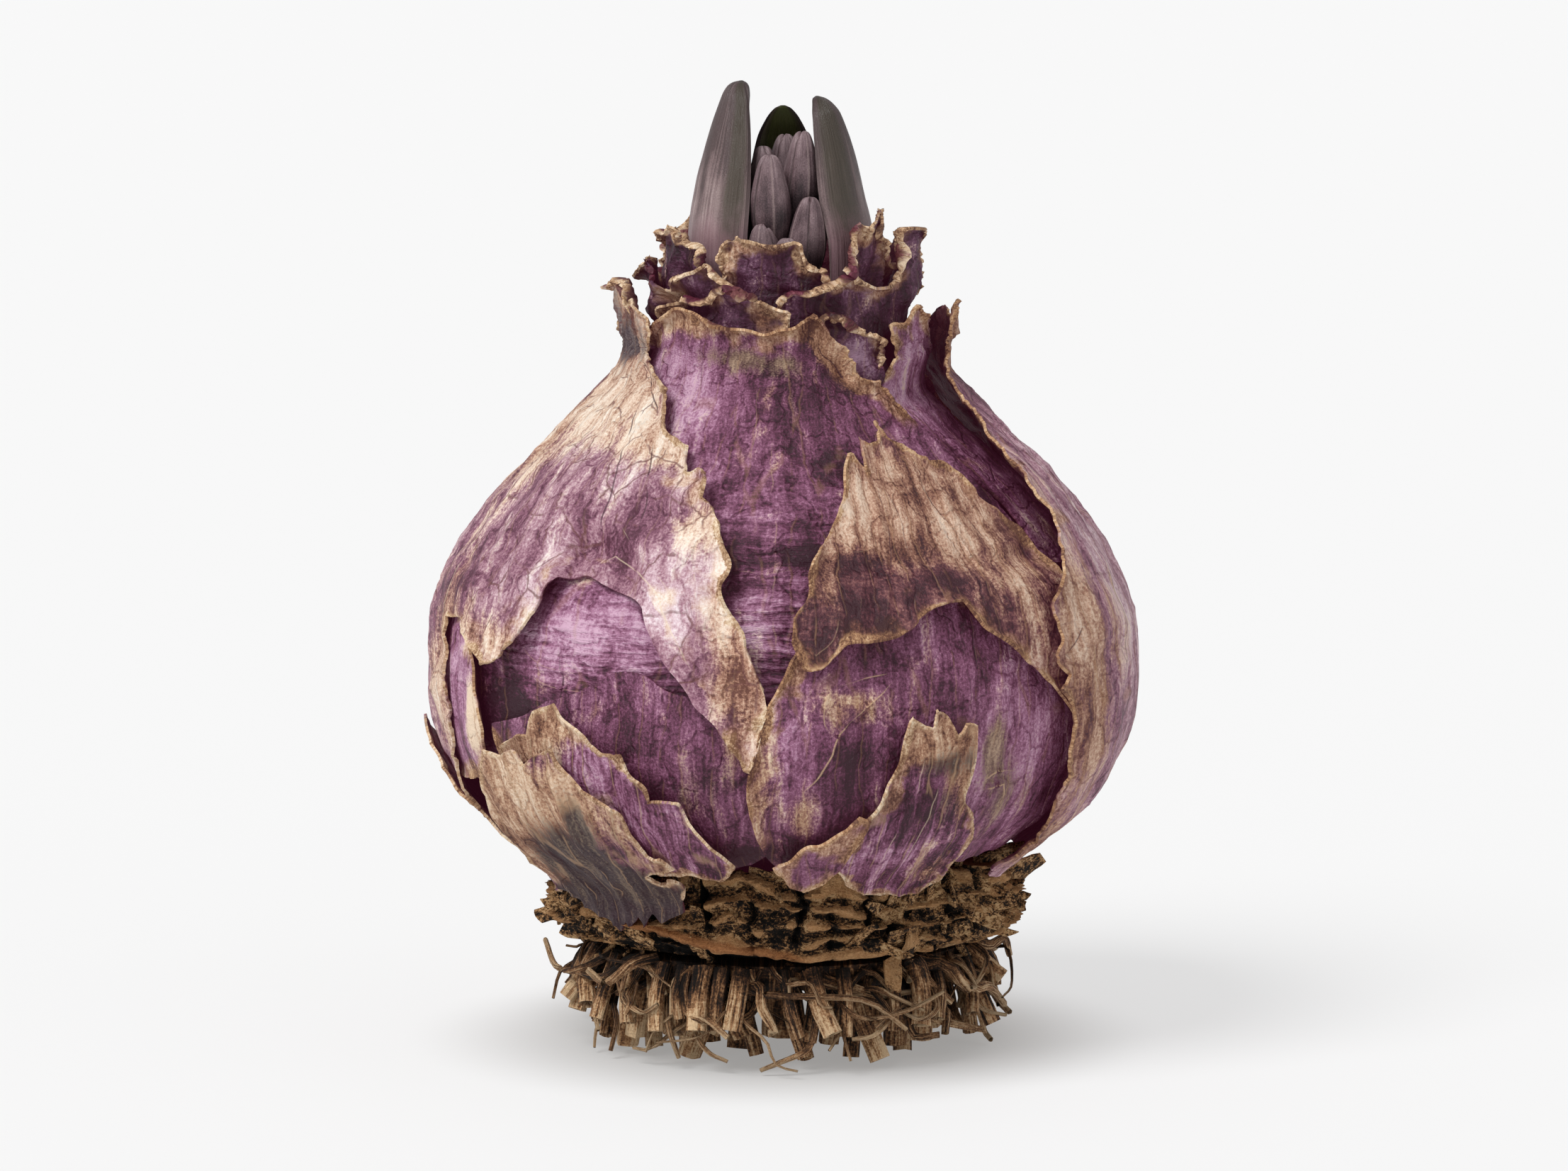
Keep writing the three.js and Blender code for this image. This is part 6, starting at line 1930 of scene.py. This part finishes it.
leaf_skin = leaf_finish("leaf_skin", shade(62, 54, 42))
green_leaf = leaf_finish("green_leaf", shade(96, 104, 50))
# On the left leaf the dark stripe is painted shade along its keel
LEAF_STRIPES = {
    # middle and width of the dark stripe, in degrees round the section, and the leaf's own tone
    "leaf_left": ((160, 16), -0.06), "leaf_right": ((40, 30), -0.25), "leaf_back": ((-90, 60), 0.1),
}
for seed, (node, (stripe_at, shade_by)) in enumerate(LEAF_STRIPES.items(), 700):
    material = green_leaf if node == "leaf_back" else leaf_skin
    make_leaf(node, *LEAVES[node], material, stripe_at, shade_by, seed)

# %% [markdown]
# The florets are closed buds. Each shows three outer tepals, one edge lapped over the next, with
# a blunt tip and a pale ridge down the middle. One bud starts as a sphere and is pulled to that
# shape; the others repeat it at their own size, place and turn, round a short stalk.

# %% Florets
BUD_SEGMENTS = 84
BUD_RINGS = 44
TEPALS = 3
STALK_STEPS = 48
# Height and radius of the stalk
STALK = [[58.3, 0], [58.3, 2.3], [62, 2.4], [66, 2.5], [70, 2.1], [72, 1.6], [72.8, 0.8], [73, 0]]
FLORETS = [
    # x, y, tip height, length, radius, turn
    [-1, -4.5, 75.7, 8.6, 1.75, 0.4], [1.5, -2.6, 77.5, 9, 1.6, 2.2],
    [2, -4.8, 72.2, 7.4, 1.65, 3.6], [-1.5, -4.9, 70, 6, 1.6, 5.1],
    [-1.5, -2, 76.2, 8, 1.5, 1.1], [2.9, -0.6, 75.2, 8, 1.4, 4.0],
    [0.3, -5.3, 68.8, 6, 1.6, 2.9], [0.2, 0.2, 77, 8, 1.6, 0.1], [-2.7, 1, 74, 8, 1.5, 3.3],
    [2.6, 1.8, 74.2, 8, 1.5, 1.8], [-0.4, 2.6, 74.6, 8, 1.5, 4.6],
]


def bud_points(sphere, x, y, tip, length, radius, turned):
    """A bud from a unit sphere: also its tepal coordinate, 0 at one edge and 1 at the other."""
    z = sphere[:, 2]
    round_way = (np.arctan2(sphere[:, 1], sphere[:, 0]) + turned) / (2 * math.pi) * TEPALS
    tepal = round_way % 1
    from_edge = np.minimum(tepal, 1 - tepal)
    lap = 0.07 * (tepal - 0.5) * ramp(np.abs(z), 1, 0.8)
    ridge = 0.05 * bell(tepal - 0.5, 0.07)
    groove = -0.1 * bell(from_edge, 0.05) * ramp(z, -0.2, 0.8)
    blunt = 1 - 0.24 * ramp(z, -0.2, 1) - 0.1 * ramp(z, -0.2, -1)
    fuller = np.maximum(1 - z ** 2, 0.001) ** -0.2
    girth = radius * blunt * fuller * (1 + lap + ridge + groove)
    spread = 1 + 0.12 * z
    notch = 0.35 * ramp(z, 0.75, 1) * bell(from_edge, 0.12)
    height = tip - ((1 - z) * length) / 2 - notch
    points = np.column_stack([x * spread + sphere[:, 0] * girth, y * spread + sphere[:, 1] * girth,
                              height])
    return points, tepal


def floret_finish():
    finish = Finish("floret_skin")
    flow = finish.attribute("flow", "Vector")
    lines = finish.bumps(flow, (3.2, 0.16))
    clouds = finish.bumps(flow, (0.6, 0.4))
    grain = finish.bumps(flow, (9, 7), 2)
    tone = 0.44 + lines * 0.5 + clouds * 1.0 + grain * 0.7 + finish.attribute("tone")
    colour = finish.ramp(tone, shades((48, 34, 38), (90, 70, 74), (126, 104, 108), (166, 146, 148)))
    pale = finish.smooth(finish.attribute("ridge") + grain * 0.4, 0.3, 0.95)
    colour = finish.mix(colour, shade(166, 146, 142), pale * 0.4)
    height = 0.5 + lines * 1.4 + grain * 0.6
    return finish.surface(colour, 0.46 + grain * 0.2, height, 0.06, Specular_IOR_Level=0.45)


def model_sphere():
    bpy.ops.object.select_all(action="DESELECT")
    bpy.ops.mesh.primitive_uv_sphere_add(segments=BUD_SEGMENTS, ring_count=BUD_RINGS, radius=1)
    return bpy.context.object


def make_florets():
    template = model_sphere()
    sphere = unit_points(template)
    stalk = spun("flower_bud_fine", STALK, STALK_STEPS)
    add_values(stalk, flow=points_of(stalk), tone=-0.3, ridge=0.0)
    grown = [stalk]
    for floret in FLORETS:
        points, tepal = bud_points(sphere, *floret)
        bud = copy_of(template, "bud", points)
        tip, length = floret[2:4]
        down = (tip - points[:, 2]) / length
        lines = 0.9 * bell(tepal - 0.5, 0.04) + 0.7 * bell(np.minimum(tepal, 1 - tepal), 0.03)
        add_values(bud, flow=flow_map(tepal * 3.5, points[:, 2]), ridge=lines,
                   tone=0.22 * np.exp(-down / 0.1) - 0.45 * ramp(down, 0.3, 0.9))
        grown.append(bud)
    bpy.data.objects.remove(template)
    joined(grown)
    keep_in_box(stalk)
    hand_in(stalk, "flower_bud", floret_finish(), 60)
    print("florets:", len(FLORETS))


make_florets()

# %% [markdown]
# At the end the new box is set beside the model's own: the fine pieces may not be larger.

# %% Sizes and finish
total = sum(len(piece.data.loop_triangles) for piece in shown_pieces())
print("triangles in all:", total)
sizes = {"cad": [list(corner) for corner in cad_box],
         "visual": [list(corner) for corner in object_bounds()]}
print("visual box in mm:", [[round(v / MM, 2) for v in corner] for corner in sizes["visual"]])
